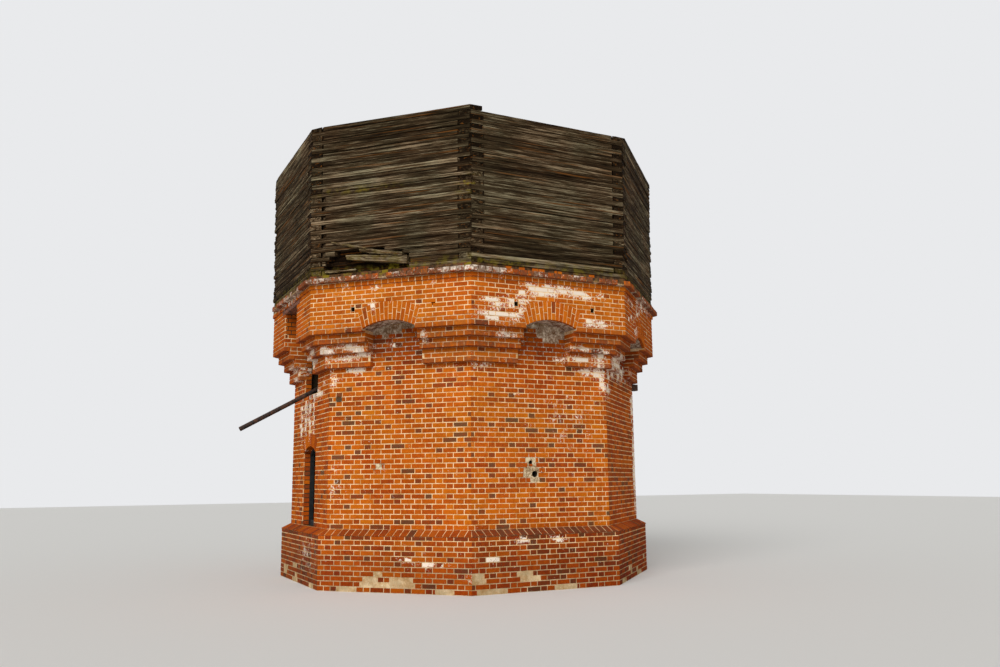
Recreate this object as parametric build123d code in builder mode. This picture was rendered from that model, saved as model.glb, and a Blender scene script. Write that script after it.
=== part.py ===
"""Derelict octagonal water tower: brick shaft, corbelled cornice and a timber crib on top.

Millimetres, +Z up. The origin is on the ground, under the middle of the whole tower's box,
spout included, so the tower's own axis stands a little to its east. Each face is named by
the way it looks: west is -X, south is -Y, and so on.
"""

import os
from math import asin, cos, radians, sin, sqrt, tan

from build123d import *

# Faces of the octagon and the bearing of each outward normal, in degrees from +X
BEARINGS = {
    "east": 0,
    "northeast": 45,
    "north": 90,
    "northwest": 135,
    "west": 180,
    "southwest": 225,
    "south": 270,
    "southeast": 315,
}
OPENING_FACES = ("west", "east")
NICHE_FACES = tuple(name for name in BEARINGS if name not in OPENING_FACES)
HALF_TURN = 22.5  # half the angle that one face spans

# Brick courses
COURSE = 77.0  # brick and bed joint in the plinth and the shaft
CORNICE_COURSE = 73.3  # the thinner courses of the cornice

# Plinth
PLINTH_OUTSET = 150.0  # its face, out of the shaft's
PLINTH_COURSES = 12
COPING_DROP = 82.0  # fall of the sloping top course
COPING_LIP = 10.0  # how far the sloping course stands out of the plinth

# Shaft
SHAFT_APOTHEM = 2941.0
WALL = 470.0  # two bricks thick
SHAFT_COURSES = 33

# Corbel table and cornice
CORBEL_COURSES = (3, 2, 2)  # courses in each step, from the lowest
CORBEL_STEP = 98.5  # how far each step, and the band over them, stands out
BAND_COURSES = 10
HEADER_LIP = 22.0  # header course under the ledge
LEDGE_LIP = 108.0  # ledge course, out of the band's face
LOST_LEDGE = 340.0  # what has fallen from each arm of the ledge at its northwest corner
BEDDING_INSET = 20.0  # last course, inside the timber's face

# Arched niches between the corbels
NICHE_WIDTH = 900.0
ARCH_RISE = 114.0
ARCH_DEPTH = 300.0  # height of the ring of bricks
ARCH_SPRING = 42.0  # springing above the bottom of the band
PUTLOG = 70.0  # square scaffold hole on each side of the arch
PUTLOG_DEPTH = 120.0
PUTLOG_SPACING = 1380.0
PUTLOG_SHIFT = 70.0  # the pair, to the right of the niche
PUTLOG_RISE = 360.0  # above the bottom of the band

# Window, doorway and the two upper openings
WINDOW_WIDTH = 800.0
DOOR_WIDTH = 900.0
SPRING_COURSES = 16  # springing of the window and the door, above the plinth
HEAD_RISE = 114.0
REVEAL = 117.0  # depth of the outer reveal, half a brick
REBATE = 60.0  # step behind the reveal
SPLAY = 180.0  # how much wider each side is at the inner face
INNER_HEAD_LIFT = 60.0  # inner arch above the outer one
UPPER_WIDTH = 900.0
SILL_COURSES = 29  # sill of the upper openings, above the plinth
HEAD_COURSES = 9  # head of the upper openings, above the bottom of the band
LINTEL_PLATE = 20.0
LINTEL_LEG = 68.0  # upright leg along its front edge
LINTEL_BEARING = 200.0
LINTEL_LIP = 8.0  # the leg, out of the band's face

# Window frame left in the west window
FRAME_BAR = 90.0
FRAME_DEPTH = 60.0
FRAME_CLEARANCE = 5.0

# Timber crib
CRIB_OUTSET = 33.0  # its face, out of the band's
PLANK_WIDTH = 150.0
PLANK_HEIGHT = 76.0
PLANK_GAP = 6.0  # between a short end and the plank that it meets
END_SETBACK = 10.0  # long ends, inside the next wall's face
LAYER_OUTSET = 1.2  # each layer, out of the one under it
SETBACKS = (0.0, 10.0, 3.0, 13.0, 6.0)  # faces of successive planks, worn back
CRIB_LAYERS = 33
LOST_LAYERS = {"south": 1}  # top planks that are gone
ROT_DEPTH = 105.0
ROTTED = ((-1130, 340), (-1130, 370), (-1090, 350), (-1040, 230), (-960, -60))  # layers of the southwest wall

# Deck over the masonry and the beams under it
DECK_THICKNESS = 50.0
DECK_CLEARANCE = 8.0
BEAM_HEIGHT = 200.0
BEAM_FLANGE = 90.0
BEAM_WEB = 10.0
BEAM_FLANGE_THICKNESS = 14.0
BEAM_SPACING = 1200.0
BEAM_COUNT = 4
BEAM_BEARING = 200.0
POCKET_CLEARANCE = 5.0

# Spout pipe through the west opening
PIPE_RADIUS = 38.0
PIPE_WALL = 5.0
PIPE_SLOPE = 29.0  # degrees down, outwards
PIPE_REACH = 1190.0  # beyond the shaft's face, measured level
PIPE_INSIDE = 900.0  # inside the shaft's face, measured level
PIPE_CLEARANCE = 0.3  # over the sill's edge

# Pipe hole and breach in the south wall
PIPE_HOLE_RADIUS = 50.0
PIPE_HOLE_DEPTH = 250.0
PIPE_HOLE_ALONG = -131.0
PIPE_HOLE_RISE = 824.0  # above the plinth
BREACH_RADIUS = 34.0
BREACH_ALONG = -202.0
BREACH_RISE = 1000.0

# Iron bar end near the southern corner of the east face
BAR_SIZE = 120.0
BAR_INSIDE = 100.0
BAR_OUTSIDE = 200.0
BAR_FROM_CORNER = 148.0
BAR_DROP = 66.0  # middle of the bar, under the bottom of the corbels

# Worked out from the driving dimensions
plinth_top = PLINTH_COURSES * COURSE
corbel_bottom = plinth_top + SHAFT_COURSES * COURSE
band_bottom = corbel_bottom + sum(CORBEL_COURSES) * CORNICE_COURSE
header_bottom = band_bottom + BAND_COURSES * CORNICE_COURSE
ledge_bottom = header_bottom + CORNICE_COURSE
ledge_top = ledge_bottom + CORNICE_COURSE
masonry_top = ledge_top + CORNICE_COURSE
plinth_apothem = SHAFT_APOTHEM + PLINTH_OUTSET
inner_apothem = SHAFT_APOTHEM - WALL
band_apothem = SHAFT_APOTHEM + (len(CORBEL_COURSES) + 1) * CORBEL_STEP
crib_apothem = band_apothem + CRIB_OUTSET
spring_level = plinth_top + SPRING_COURSES * COURSE
sill_level = plinth_top + SILL_COURSES * COURSE
head_level = band_bottom + HEAD_COURSES * CORNICE_COURSE
beyond = plinth_apothem + crib_apothem  # a length that passes right through a wall
slope = radians(PIPE_SLOPE)
spout_reach = SHAFT_APOTHEM + PIPE_REACH + PIPE_RADIUS * sin(slope)
axis = Vector((spout_reach - band_apothem - LEDGE_LIP) / 2, 0, 0)


def direction(bearing: float) -> Vector:
    """Level unit vector at a bearing."""
    return Vector(cos(radians(bearing)), sin(radians(bearing)), 0)


def section_plane(bearing: float, along: float = 0.0) -> Plane:
    """Upright plane across a wall: x runs outwards from the axis, y up.

    The plane stands at the distance along the face from its middle, and its
    normal runs along the face, to the right of someone looking at it.
    """
    right = direction(bearing + 90)
    return Plane(origin=axis + right * along, x_dir=direction(bearing), z_dir=-right)


def face_plane(bearing: float, distance: float) -> Plane:
    """Upright plane of a face: x runs along the face, y up, its normal outwards."""
    outward = direction(bearing)
    return Plane(origin=axis + outward * distance, x_dir=direction(bearing + 90), z_dir=outward)


def plan_plane(bearing: float, level: float) -> Plane:
    """Level plane for a face: x runs outwards from the axis, y along the face."""
    return Plane(origin=axis + Vector(0, 0, level), x_dir=direction(bearing), z_dir=(0, 0, 1))


def half_side(apothem: float) -> float:
    """Half the length of an octagon's side."""
    return apothem * tan(radians(HALF_TURN))


def mitre(bearing: float) -> None:
    """Cuts the part being built at the two corner planes of its face."""
    for side in (1, -1):
        corner = bearing + side * HALF_TURN
        split(bisect_by=Plane(origin=axis, z_dir=direction(corner - side * 90)))


def outline_face(plane: Plane, points: list) -> Face:
    """Flat face with straight sides, drawn on a plane."""
    with BuildSketch(plane) as shape:
        with BuildLine():
            Polyline(*points, close=True)
        make_face()
    return shape.sketch


def arch_face(plane: Plane, width: float, rise: float, bottom: float, spring: float) -> Face:
    """Opening with a segmental head: straight sides from bottom to spring."""
    half = width / 2
    with BuildSketch(plane) as shape:
        with BuildLine():
            Polyline((-half, spring), (-half, bottom), (half, bottom), (half, spring))
            ThreePointArc((half, spring), (0, spring + rise), (-half, spring))
        make_face()
    return shape.sketch


def jamb_line(width: float) -> list:
    """Plan of one jamb from the outer face in: reveal, rebate and splay."""
    half = width / 2
    rebate_line = SHAFT_APOTHEM - REVEAL
    return [
        (SHAFT_APOTHEM, half),
        (rebate_line, half),
        (rebate_line, half + REBATE),
        (inner_apothem, half + SPLAY),
    ]


def both_sides(points: list) -> list:
    """Closes a half plan with its mirror image across the middle of the face."""
    return points + [(distance, -along) for distance, along in reversed(points)]


def opening_plan(width: float) -> list:
    """Plan of what an opening takes out of a wall, run on past both of its faces."""
    half = width / 2
    return both_sides([(beyond, half)] + jamb_line(width) + [(0, half + SPLAY)])


def filling_plan(width: float) -> list:
    """Plan of the masonry that spans an opening between its jambs."""
    return both_sides(jamb_line(width))


def add_lintel(bearing: float, mode: Mode = Mode.ADD) -> None:
    """Adds or cuts the iron over an upper opening: a plate with a leg up along its front."""
    half = UPPER_WIDTH / 2 + LINTEL_BEARING
    front = band_apothem + LINTEL_LIP
    for back, height in ((inner_apothem, LINTEL_PLATE), (front - LINTEL_PLATE, LINTEL_LEG)):
        plan = both_sides([(front, half), (back, half)])
        add_block(bearing, plan, head_level, head_level + height, mode)


def add_wall(bearing: float, section: list) -> None:
    """Adds a wall of one section to the part being built, mitred at both corners."""
    reach = max(distance for distance, level in section)
    extrude(outline_face(section_plane(bearing), section), amount=half_side(reach) + 1, both=True)
    mitre(bearing)


def cut_opening(bearing: float, width: float, bottom: float, top: float) -> None:
    """Cuts an opening's plan through the part being built."""
    plan = outline_face(plan_plane(bearing, bottom), opening_plan(width))
    extrude(plan, amount=top - bottom, mode=Mode.SUBTRACT)


def add_block(bearing: float, plan: list, bottom: float, top: float, mode: Mode = Mode.ADD) -> None:
    """Adds or cuts an upright block over a plan drawn for a face."""
    extrude(outline_face(plan_plane(bearing, bottom), plan), amount=top - bottom, mode=mode)


def write(part: Part, name: str) -> None:
    """Labels a finished piece and writes its STEP file."""
    part.label = name
    export_step(part, f"parts/{name}.step")


# Sections of the walls, as distance from the axis and height
plinth_section = [
    (inner_apothem, 0),
    (plinth_apothem, 0),
    (plinth_apothem, plinth_top - COPING_DROP - COPING_LIP),
    (plinth_apothem + COPING_LIP, plinth_top - COPING_DROP),
    (SHAFT_APOTHEM, plinth_top),
    (inner_apothem, plinth_top),
]
shaft_section = [
    (inner_apothem, plinth_top),
    (SHAFT_APOTHEM, plinth_top),
    (SHAFT_APOTHEM, masonry_top),
    (inner_apothem, masonry_top),
]


def cornice_section(bottom: float) -> list:
    """Band, header course, ledge and bedding course, from a given bottom up."""
    bedding = crib_apothem - BEDDING_INSET
    return [
        (SHAFT_APOTHEM, bottom),
        (band_apothem, bottom),
        (band_apothem, header_bottom),
        (band_apothem + HEADER_LIP, header_bottom),
        (band_apothem + HEADER_LIP, ledge_bottom),
        (band_apothem + LEDGE_LIP, ledge_bottom),
        (band_apothem + LEDGE_LIP, ledge_top),
        (bedding, ledge_top),
        (bedding, masonry_top),
        (SHAFT_APOTHEM, masonry_top),
    ]


def corbel_section() -> list:
    """Stepped corbel under the band, each step standing out further."""
    points = [(SHAFT_APOTHEM, corbel_bottom)]
    level = corbel_bottom
    for step, courses in enumerate(CORBEL_COURSES, start=1):
        reach = SHAFT_APOTHEM + step * CORBEL_STEP
        points.append((reach, level))
        level += courses * CORNICE_COURSE
        points.append((reach, level))
    points.append((SHAFT_APOTHEM, level))
    return points


# Lines of the arch over each niche
arch_radius = ((NICHE_WIDTH / 2) ** 2 + ARCH_RISE**2) / (2 * ARCH_RISE)
arch_angle = asin(NICHE_WIDTH / 2 / arch_radius)
arch_spring = band_bottom + ARCH_SPRING
arch_centre = arch_spring + ARCH_RISE - arch_radius
outer_radius = arch_radius + ARCH_DEPTH
skew_x = outer_radius * sin(arch_angle)
skew_level = arch_centre + outer_radius * cos(arch_angle)


def arch_ring_face(plane: Plane) -> Face:
    """The ring of bricks over a niche, between its two arcs and skewbacks."""
    half = NICHE_WIDTH / 2
    with BuildSketch(plane) as ring:
        with BuildLine():
            ThreePointArc((half, arch_spring), (0, arch_spring + ARCH_RISE), (-half, arch_spring))
            Line((-half, arch_spring), (-skew_x, skew_level))
            ThreePointArc((-skew_x, skew_level), (0, arch_centre + outer_radius), (skew_x, skew_level))
            Line((skew_x, skew_level), (half, arch_spring))
        make_face()
    return ring.sketch


def arch_cut_face(plane: Plane) -> Face:
    """What the niche and its arch take out of the cornice."""
    half = NICHE_WIDTH / 2
    with BuildSketch(plane) as cut:
        with BuildLine():
            Polyline(
                (-skew_x, skew_level),
                (-half, arch_spring),
                (-half, band_bottom),
                (half, band_bottom),
                (half, arch_spring),
                (skew_x, skew_level),
            )
            ThreePointArc((skew_x, skew_level), (0, arch_centre + outer_radius), (-skew_x, skew_level))
        make_face()
    return cut.sketch


def bar_face() -> Face:
    """End of the iron bar, on the plane where it stops in the east wall."""
    with BuildSketch(face_plane(BEARINGS["east"], SHAFT_APOTHEM - BAR_INSIDE)) as end:
        with Locations((BAR_FROM_CORNER - half_side(SHAFT_APOTHEM), corbel_bottom - BAR_DROP)):
            Rectangle(BAR_SIZE, BAR_SIZE)
    return end.sketch


# Beams under the deck: each end bears on the wall it meets
beam_places = [(number - (BEAM_COUNT - 1) / 2) * BEAM_SPACING for number in range(BEAM_COUNT)]


def beam_half_length(place: float) -> float:
    """Half the length of a beam at a distance from the axis, with its bearing."""
    straight = inner_apothem
    slanted = inner_apothem * sqrt(2) - abs(place)
    return min(straight, slanted) + BEAM_BEARING


def cut_beam_pockets() -> None:
    """Cuts the pockets of the deck beams into the part being built."""
    width = BEAM_FLANGE + 2 * POCKET_CLEARANCE
    for place in beam_places:
        length = 2 * (beam_half_length(place) + POCKET_CLEARANCE)
        with Locations(axis + Vector(place, 0, masonry_top - BEAM_HEIGHT / 2)):
            Box(width, length, BEAM_HEIGHT, mode=Mode.SUBTRACT)


def cut_fallen_ledge(bearing: float, side: int) -> None:
    """Cuts the fallen bricks off one arm of the ledge, at its left (-1) or its right (1)."""
    back = band_apothem + HEADER_LIP
    near = side * (half_side(band_apothem + LEDGE_LIP) - LOST_LEDGE)
    far = side * half_side(beyond)
    plan = [(back, near), (beyond, near), (beyond, far), (back, far)]
    add_block(bearing, plan, ledge_bottom, ledge_top, Mode.SUBTRACT)


def plank_plan(layer: int) -> list:
    """Plan of a plank, one end long and one short, which change places with each layer.

    A long end is cut in the plane of the next wall's face, and a short one beside the
    inner edge of the plank that it meets there.
    """
    reach = crib_apothem + layer * LAYER_OUTSET
    inner = reach - PLANK_WIDTH
    outer = reach - SETBACKS[layer % len(SETBACKS)]
    side = -1 if layer % 2 else 1
    turn = radians(2 * HALF_TURN)
    points = []
    for end, limit in ((side, reach - END_SETBACK), (-side, inner - PLANK_GAP)):
        points.append([(distance, end * (limit - distance * cos(turn)) / sin(turn)) for distance in (inner, outer)])
    return points[0] + points[1][::-1]


def cut_rot(bearing: float) -> None:
    """Cuts the hollow that has rotted into the foot of a crib wall."""
    for layer, (left, right) in enumerate(ROTTED):
        back = crib_apothem - ROT_DEPTH
        bottom = masonry_top + layer * PLANK_HEIGHT
        plan = [(back, left), (beyond, left), (beyond, right), (back, right)]
        add_block(bearing, plan, bottom, bottom + PLANK_HEIGHT, Mode.SUBTRACT)


os.makedirs("parts", exist_ok=True)

# Plinth: one wall a face, the east one parted by the doorway
for name, bearing in BEARINGS.items():
    with BuildPart() as plinth_wall:
        add_wall(bearing, plinth_section)
        if name == "east":
            cut_opening(bearing, DOOR_WIDTH, 0, plinth_top)
    write(plinth_wall.part, f"{name}_plinth_wall")

# Shaft on the niche faces: plain walls up to the crib
for name in NICHE_FACES:
    with BuildPart() as shaft_wall:
        add_wall(BEARINGS[name], shaft_section)
        cut_beam_pockets()
        if name == "south":
            with BuildSketch(face_plane(BEARINGS[name], SHAFT_APOTHEM)) as holes:
                with Locations((PIPE_HOLE_ALONG, plinth_top + PIPE_HOLE_RISE)):
                    Circle(PIPE_HOLE_RADIUS)
                with Locations((BREACH_ALONG, plinth_top + BREACH_RISE)):
                    Circle(BREACH_RADIUS)
            extrude(holes.sketch, amount=-PIPE_HOLE_DEPTH, mode=Mode.SUBTRACT)
    write(shaft_wall.part, f"{name}_shaft_wall")

# Shaft on the opening faces: two piers with the walls that span between them
for name, lower_width in (("west", WINDOW_WIDTH), ("east", DOOR_WIDTH)):
    bearing = BEARINGS[name]
    with BuildPart() as piers:
        add_wall(bearing, shaft_section)
        cut_opening(bearing, lower_width, plinth_top, sill_level)
        cut_opening(bearing, UPPER_WIDTH, sill_level, masonry_top)
        add_lintel(bearing, Mode.SUBTRACT)
        if name == "east":
            extrude(bar_face(), amount=BAR_OUTSIDE, mode=Mode.SUBTRACT)
    write(piers.part, f"{name}_piers")

    with BuildPart() as head_wall:
        add_block(bearing, filling_plan(lower_width), spring_level, sill_level)
        outer_arch = arch_face(face_plane(bearing, SHAFT_APOTHEM), lower_width, HEAD_RISE, 0, spring_level)
        extrude(outer_arch, amount=-REVEAL, mode=Mode.SUBTRACT)
        rebate_plane = face_plane(bearing, SHAFT_APOTHEM - REVEAL)
        inner_rise = HEAD_RISE + INNER_HEAD_LIFT
        inner_arch = arch_face(rebate_plane, lower_width + 2 * SPLAY, inner_rise, 0, spring_level)
        extrude(inner_arch, amount=-WALL, mode=Mode.SUBTRACT)
    write(head_wall.part, f"{name}_head_wall")

with BuildPart() as upper_head_walls:
    for name in OPENING_FACES:
        add_block(BEARINGS[name], filling_plan(UPPER_WIDTH), head_level + LINTEL_PLATE, masonry_top)
write(upper_head_walls.part, "upper_head_walls")

with BuildPart() as opening_lintels:
    for name in OPENING_FACES:
        add_lintel(BEARINGS[name])
write(opening_lintels.part, "opening_lintels")

# Corbels: a stepped piece swept round each corner, from one niche to the next
with BuildPart() as corner_corbels:
    for bearing in BEARINGS.values():
        edge = NICHE_WIDTH / 2
        start = axis + direction(bearing) * SHAFT_APOTHEM - direction(bearing + 90) * edge
        turn = axis + direction(bearing - HALF_TURN) * (SHAFT_APOTHEM / cos(radians(HALF_TURN)))
        end = axis + direction(bearing - 45) * SHAFT_APOTHEM + direction(bearing + 45) * edge
        with BuildLine() as path:
            Polyline(start, turn, end)
        section = outline_face(section_plane(bearing, -edge), corbel_section())
        sweep(section, path=path.line, transition=Transition.RIGHT)
write(corner_corbels.part, "corner_corbels")

# Cornice: band with its niche arch, header course, ledge and bedding course
for name, bearing in BEARINGS.items():
    with BuildPart() as cornice:
        if name in OPENING_FACES:
            add_wall(bearing, cornice_section(head_level + LINTEL_PLATE))
            add_lintel(bearing, Mode.SUBTRACT)
        else:
            add_wall(bearing, cornice_section(band_bottom))
            front = face_plane(bearing, band_apothem)
            extrude(arch_cut_face(front), amount=-beyond, mode=Mode.SUBTRACT)
            with BuildSketch(front) as putlogs:
                with GridLocations(PUTLOG_SPACING, 0, 2, 1):
                    with Locations((PUTLOG_SHIFT, band_bottom + PUTLOG_RISE)):
                        Rectangle(PUTLOG, PUTLOG)
            extrude(putlogs.sketch, amount=-PUTLOG_DEPTH, mode=Mode.SUBTRACT)
        if name == "west":
            cut_fallen_ledge(bearing, -1)
        if name == "northwest":
            cut_fallen_ledge(bearing, 1)
    write(cornice.part, f"{name}_cornice")

with BuildPart() as upper_opening_jambs:
    for name in OPENING_FACES:
        for side in (1, -1):
            plan = [
                (SHAFT_APOTHEM, side * UPPER_WIDTH / 2),
                (band_apothem, side * UPPER_WIDTH / 2),
                (band_apothem, side * half_side(band_apothem)),
                (SHAFT_APOTHEM, side * half_side(SHAFT_APOTHEM)),
            ]
            add_block(BEARINGS[name], plan, band_bottom, head_level + LINTEL_PLATE)
        add_lintel(BEARINGS[name], Mode.SUBTRACT)
write(upper_opening_jambs.part, "upper_opening_jambs")

with BuildPart() as niche_arches:
    for name in NICHE_FACES:
        ring = arch_ring_face(face_plane(BEARINGS[name], band_apothem))
        extrude(ring, amount=SHAFT_APOTHEM - band_apothem)
write(niche_arches.part, "niche_arches")

# Timber crib: planks laid flat, whose long ends take turns at each corner
for name, bearing in BEARINGS.items():
    with BuildPart() as crib_wall:
        for layer in range(CRIB_LAYERS - LOST_LAYERS.get(name, 0)):
            bottom = masonry_top + layer * PLANK_HEIGHT
            add_block(bearing, plank_plan(layer), bottom, bottom + PLANK_HEIGHT)
        if name == "southwest":
            cut_rot(bearing)
    write(crib_wall.part, f"{name}_crib_wall")

# Deck over the masonry, on iron beams
with BuildPart() as deck:
    with BuildSketch(plan_plane(0, masonry_top)) as deck_plan:
        deck_apothem = crib_apothem - PLANK_WIDTH - DECK_CLEARANCE
        RegularPolygon(deck_apothem, 8, major_radius=False, rotation=HALF_TURN)
    extrude(deck_plan.sketch, amount=DECK_THICKNESS)
write(deck.part, "tank_deck")

with BuildPart() as deck_beams:
    for place in beam_places:
        length = beam_half_length(place)
        end = axis + Vector(place, -length, masonry_top - BEAM_HEIGHT / 2)
        end_plane = Plane(origin=end, x_dir=(1, 0, 0), z_dir=(0, -1, 0))
        with BuildSketch(end_plane) as beam_section:
            Rectangle(BEAM_FLANGE, BEAM_HEIGHT)
            with GridLocations(BEAM_FLANGE + BEAM_WEB, 0, 2, 1):
                Rectangle(BEAM_FLANGE, BEAM_HEIGHT - 2 * BEAM_FLANGE_THICKNESS, mode=Mode.SUBTRACT)
        extrude(beam_section.sketch, amount=-2 * length)
write(deck_beams.part, "deck_beams")

# Spout pipe, resting on the sill of the west upper opening
axis_level = sill_level + (PIPE_RADIUS + PIPE_CLEARANCE) / cos(slope)
low_end = axis + Vector(-SHAFT_APOTHEM - PIPE_REACH, 0, axis_level - PIPE_REACH * tan(slope))
with BuildPart() as spout_pipe:
    with BuildSketch(Plane(origin=low_end, z_dir=(cos(slope), 0, sin(slope)))) as pipe_section:
        Circle(PIPE_RADIUS)
        Circle(PIPE_RADIUS - PIPE_WALL, mode=Mode.SUBTRACT)
    extrude(pipe_section.sketch, amount=(PIPE_REACH + PIPE_INSIDE) / cos(slope))
write(spout_pipe.part, "spout_pipe")

# Frame left in the west window, against the rebate
with BuildPart() as window_frame:
    frame_width = WINDOW_WIDTH + 2 * (REBATE - FRAME_CLEARANCE)
    frame_rise = HEAD_RISE + INNER_HEAD_LIFT - FRAME_CLEARANCE
    rebate_plane = face_plane(BEARINGS["west"], SHAFT_APOTHEM - REVEAL)
    with BuildSketch(rebate_plane) as frame_outline:
        with BuildLine():
            Polyline(
                (-frame_width / 2, spring_level),
                (-frame_width / 2, plinth_top),
                (frame_width / 2, plinth_top),
                (frame_width / 2, spring_level),
            )
            ThreePointArc(
                (frame_width / 2, spring_level),
                (0, spring_level + frame_rise),
                (-frame_width / 2, spring_level),
            )
        make_face()
        offset(amount=-FRAME_BAR, mode=Mode.SUBTRACT)
    extrude(frame_outline.sketch, amount=-FRAME_DEPTH)
write(window_frame.part, "west_window_frame")

# End of an iron bar in the east wall, under the corbels
with BuildPart() as wall_bar:
    extrude(bar_face(), amount=BAR_INSIDE + BAR_OUTSIDE)
write(wall_bar.part, "iron_bar_end")
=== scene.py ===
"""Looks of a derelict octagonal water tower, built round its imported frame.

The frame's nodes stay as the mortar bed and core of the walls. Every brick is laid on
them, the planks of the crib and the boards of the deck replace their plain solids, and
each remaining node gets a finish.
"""

import logging
import math
import random
from dataclasses import dataclass
from enum import Enum
from typing import Iterator, Optional, Sequence

import bmesh
import bpy
from mathutils import Matrix, Vector, noise


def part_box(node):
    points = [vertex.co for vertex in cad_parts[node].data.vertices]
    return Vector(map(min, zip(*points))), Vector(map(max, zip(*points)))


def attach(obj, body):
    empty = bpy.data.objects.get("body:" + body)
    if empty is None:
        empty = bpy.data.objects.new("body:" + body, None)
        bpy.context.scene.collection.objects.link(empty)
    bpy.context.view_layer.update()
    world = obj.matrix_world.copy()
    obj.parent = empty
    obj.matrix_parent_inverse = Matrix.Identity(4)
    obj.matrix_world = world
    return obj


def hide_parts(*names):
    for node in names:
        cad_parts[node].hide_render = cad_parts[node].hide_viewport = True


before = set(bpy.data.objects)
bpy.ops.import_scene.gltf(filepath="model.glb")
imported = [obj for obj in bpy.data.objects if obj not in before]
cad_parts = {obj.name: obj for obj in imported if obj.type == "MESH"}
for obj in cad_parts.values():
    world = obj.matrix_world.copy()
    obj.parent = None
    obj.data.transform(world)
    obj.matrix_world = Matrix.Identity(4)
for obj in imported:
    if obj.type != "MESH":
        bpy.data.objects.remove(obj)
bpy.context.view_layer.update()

log = logging.getLogger("water_tower")

Colour = tuple[float, float, float, float]
Triple = tuple[float, float, float]
Span = tuple[float, float]
Cut = tuple[float, float, float]  # left, right, and how much wider each side is at the top
Stops = tuple[tuple[float, str], ...]  # places and hex colours of a ramp
Socket = bpy.types.NodeSocket
Mesh = bmesh.types.BMesh

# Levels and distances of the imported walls, in metres
COURSE = 0.077
CORNICE_COURSE = 0.0733
PLINTH_APOTHEM = 3.091
SHAFT_APOTHEM = 2.941
CORBEL_STEP = 0.0985
BAND_APOTHEM = SHAFT_APOTHEM + 4 * CORBEL_STEP
CRIB_APOTHEM = BAND_APOTHEM + 0.033
BEDDING_APOTHEM = CRIB_APOTHEM - 0.020
LEDGE_APOTHEM = BAND_APOTHEM + 0.108
PLINTH_TOP = 12 * COURSE
CORBEL_BOTTOM = PLINTH_TOP + 33 * COURSE
BAND_BOTTOM = CORBEL_BOTTOM + 7 * CORNICE_COURSE
MASONRY_TOP = BAND_BOTTOM + 13 * CORNICE_COURSE
SPRING_LEVEL = PLINTH_TOP + 16 * COURSE
SILL_LEVEL = PLINTH_TOP + 29 * COURSE
HEAD_LEVEL = BAND_BOTTOM + 9 * CORNICE_COURSE
LINTEL_TOP = HEAD_LEVEL + 0.068
LINTEL_HALF = 0.65
REVEAL = 0.117
UPPER_HALF = 0.45
PLANK_WIDTH = 0.15
PLANK_HEIGHT = 0.076
LAYER_OUTSET = 0.0012
ROTTED = ((-1.13, 0.34), (-1.13, 0.37), (-1.09, 0.35), (-1.04, 0.23), (-0.96, -0.06))
ROT_DEPTH = 0.105

# Brickwork
PROUD = 0.005  # a brick's face, out of the mortar bed
JAMB_PROUD = 0.003
JAMB_SETBACK = 0.007  # start of a jamb's bricks, behind the fronts of the face
JAMB_DEPTH = 0.008
DEEP_JAMB = 0.4  # from here on a jamb takes more than one brick
HALF_JOINT = 0.0045
HALF_COURSE = 0.032
STRETCHER = 0.235  # with its joint
HEADER = 0.117
SHORTEST_CUT = 0.035
SHELL_SLOPE = (0.0025, 0.005)  # how far a thin face slopes in from its joints
SHALLOWEST = 0.004
UNEVEN = 0.0012  # how far a brick lies off its line
WORN_EDGE = (0.003, 0.006)
TALL_RING = 0.25  # from here on an arch takes two bricks in its height
RING_CUTS = (0.66, 0.36)  # where they meet, in turn, as shares of the ring
HALF_TURN_TAN = math.tan(math.radians(22.5))
COS_TURN = math.cos(math.radians(45))  # and the sine, for the corner between two faces

low_deck, high_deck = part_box("tank_deck")
AXIS = Vector(((low_deck.x + high_deck.x) / 2, (low_deck.y + high_deck.y) / 2, 0.0))


class Side(Enum):
    """The eight faces of the tower, with the bearing of each outward normal."""

    EAST = 0
    NORTHEAST = 45
    NORTH = 90
    NORTHWEST = 135
    WEST = 180
    SOUTHWEST = 225
    SOUTH = 270
    SOUTHEAST = 315

    @property
    def label(self) -> str:
        """The face's name as the nodes and pieces use it."""
        return self.name.lower()

    @property
    def has_niche(self) -> bool:
        """True for the six faces with an arched niche."""
        return self not in (Side.EAST, Side.WEST)

    def local(self) -> Matrix:
        """Frame of the face: x to the right from outside, y inwards, z up."""
        return Matrix.Translation(AXIS) @ Matrix.Rotation(math.radians(self.value + 90), 4, "Z")


class Bond(Enum):
    """How the bricks of a course take turns."""

    FLEMISH = "a stretcher, then a header"
    HEADERS = "headers only"
    SINGLE = "one brick"


class Shape(Enum):
    """How much of a brick is made."""

    SHELL = "a thin face that slopes into the mortar bed"
    BLOCK = "a block with worn front edges, where its underside or top shows"


def half_side(apothem: float) -> float:
    """Half the length of an octagon's side."""
    return apothem * HALF_TURN_TAN


def linear(code: str) -> Colour:
    """Linear colour of a hex code.

    Args:
        code: Six hex digits of an sRGB colour.

    Returns:
        Red, green, blue and an alpha of 1.
    """
    parts = [int(code[k:k + 2], 16) / 255 for k in (0, 2, 4)]
    red, green, blue = (c / 12.92 if c <= 0.04045 else ((c + 0.055) / 1.055) ** 2.4 for c in parts)
    return (red, green, blue, 1.0)


# Finishes


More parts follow.
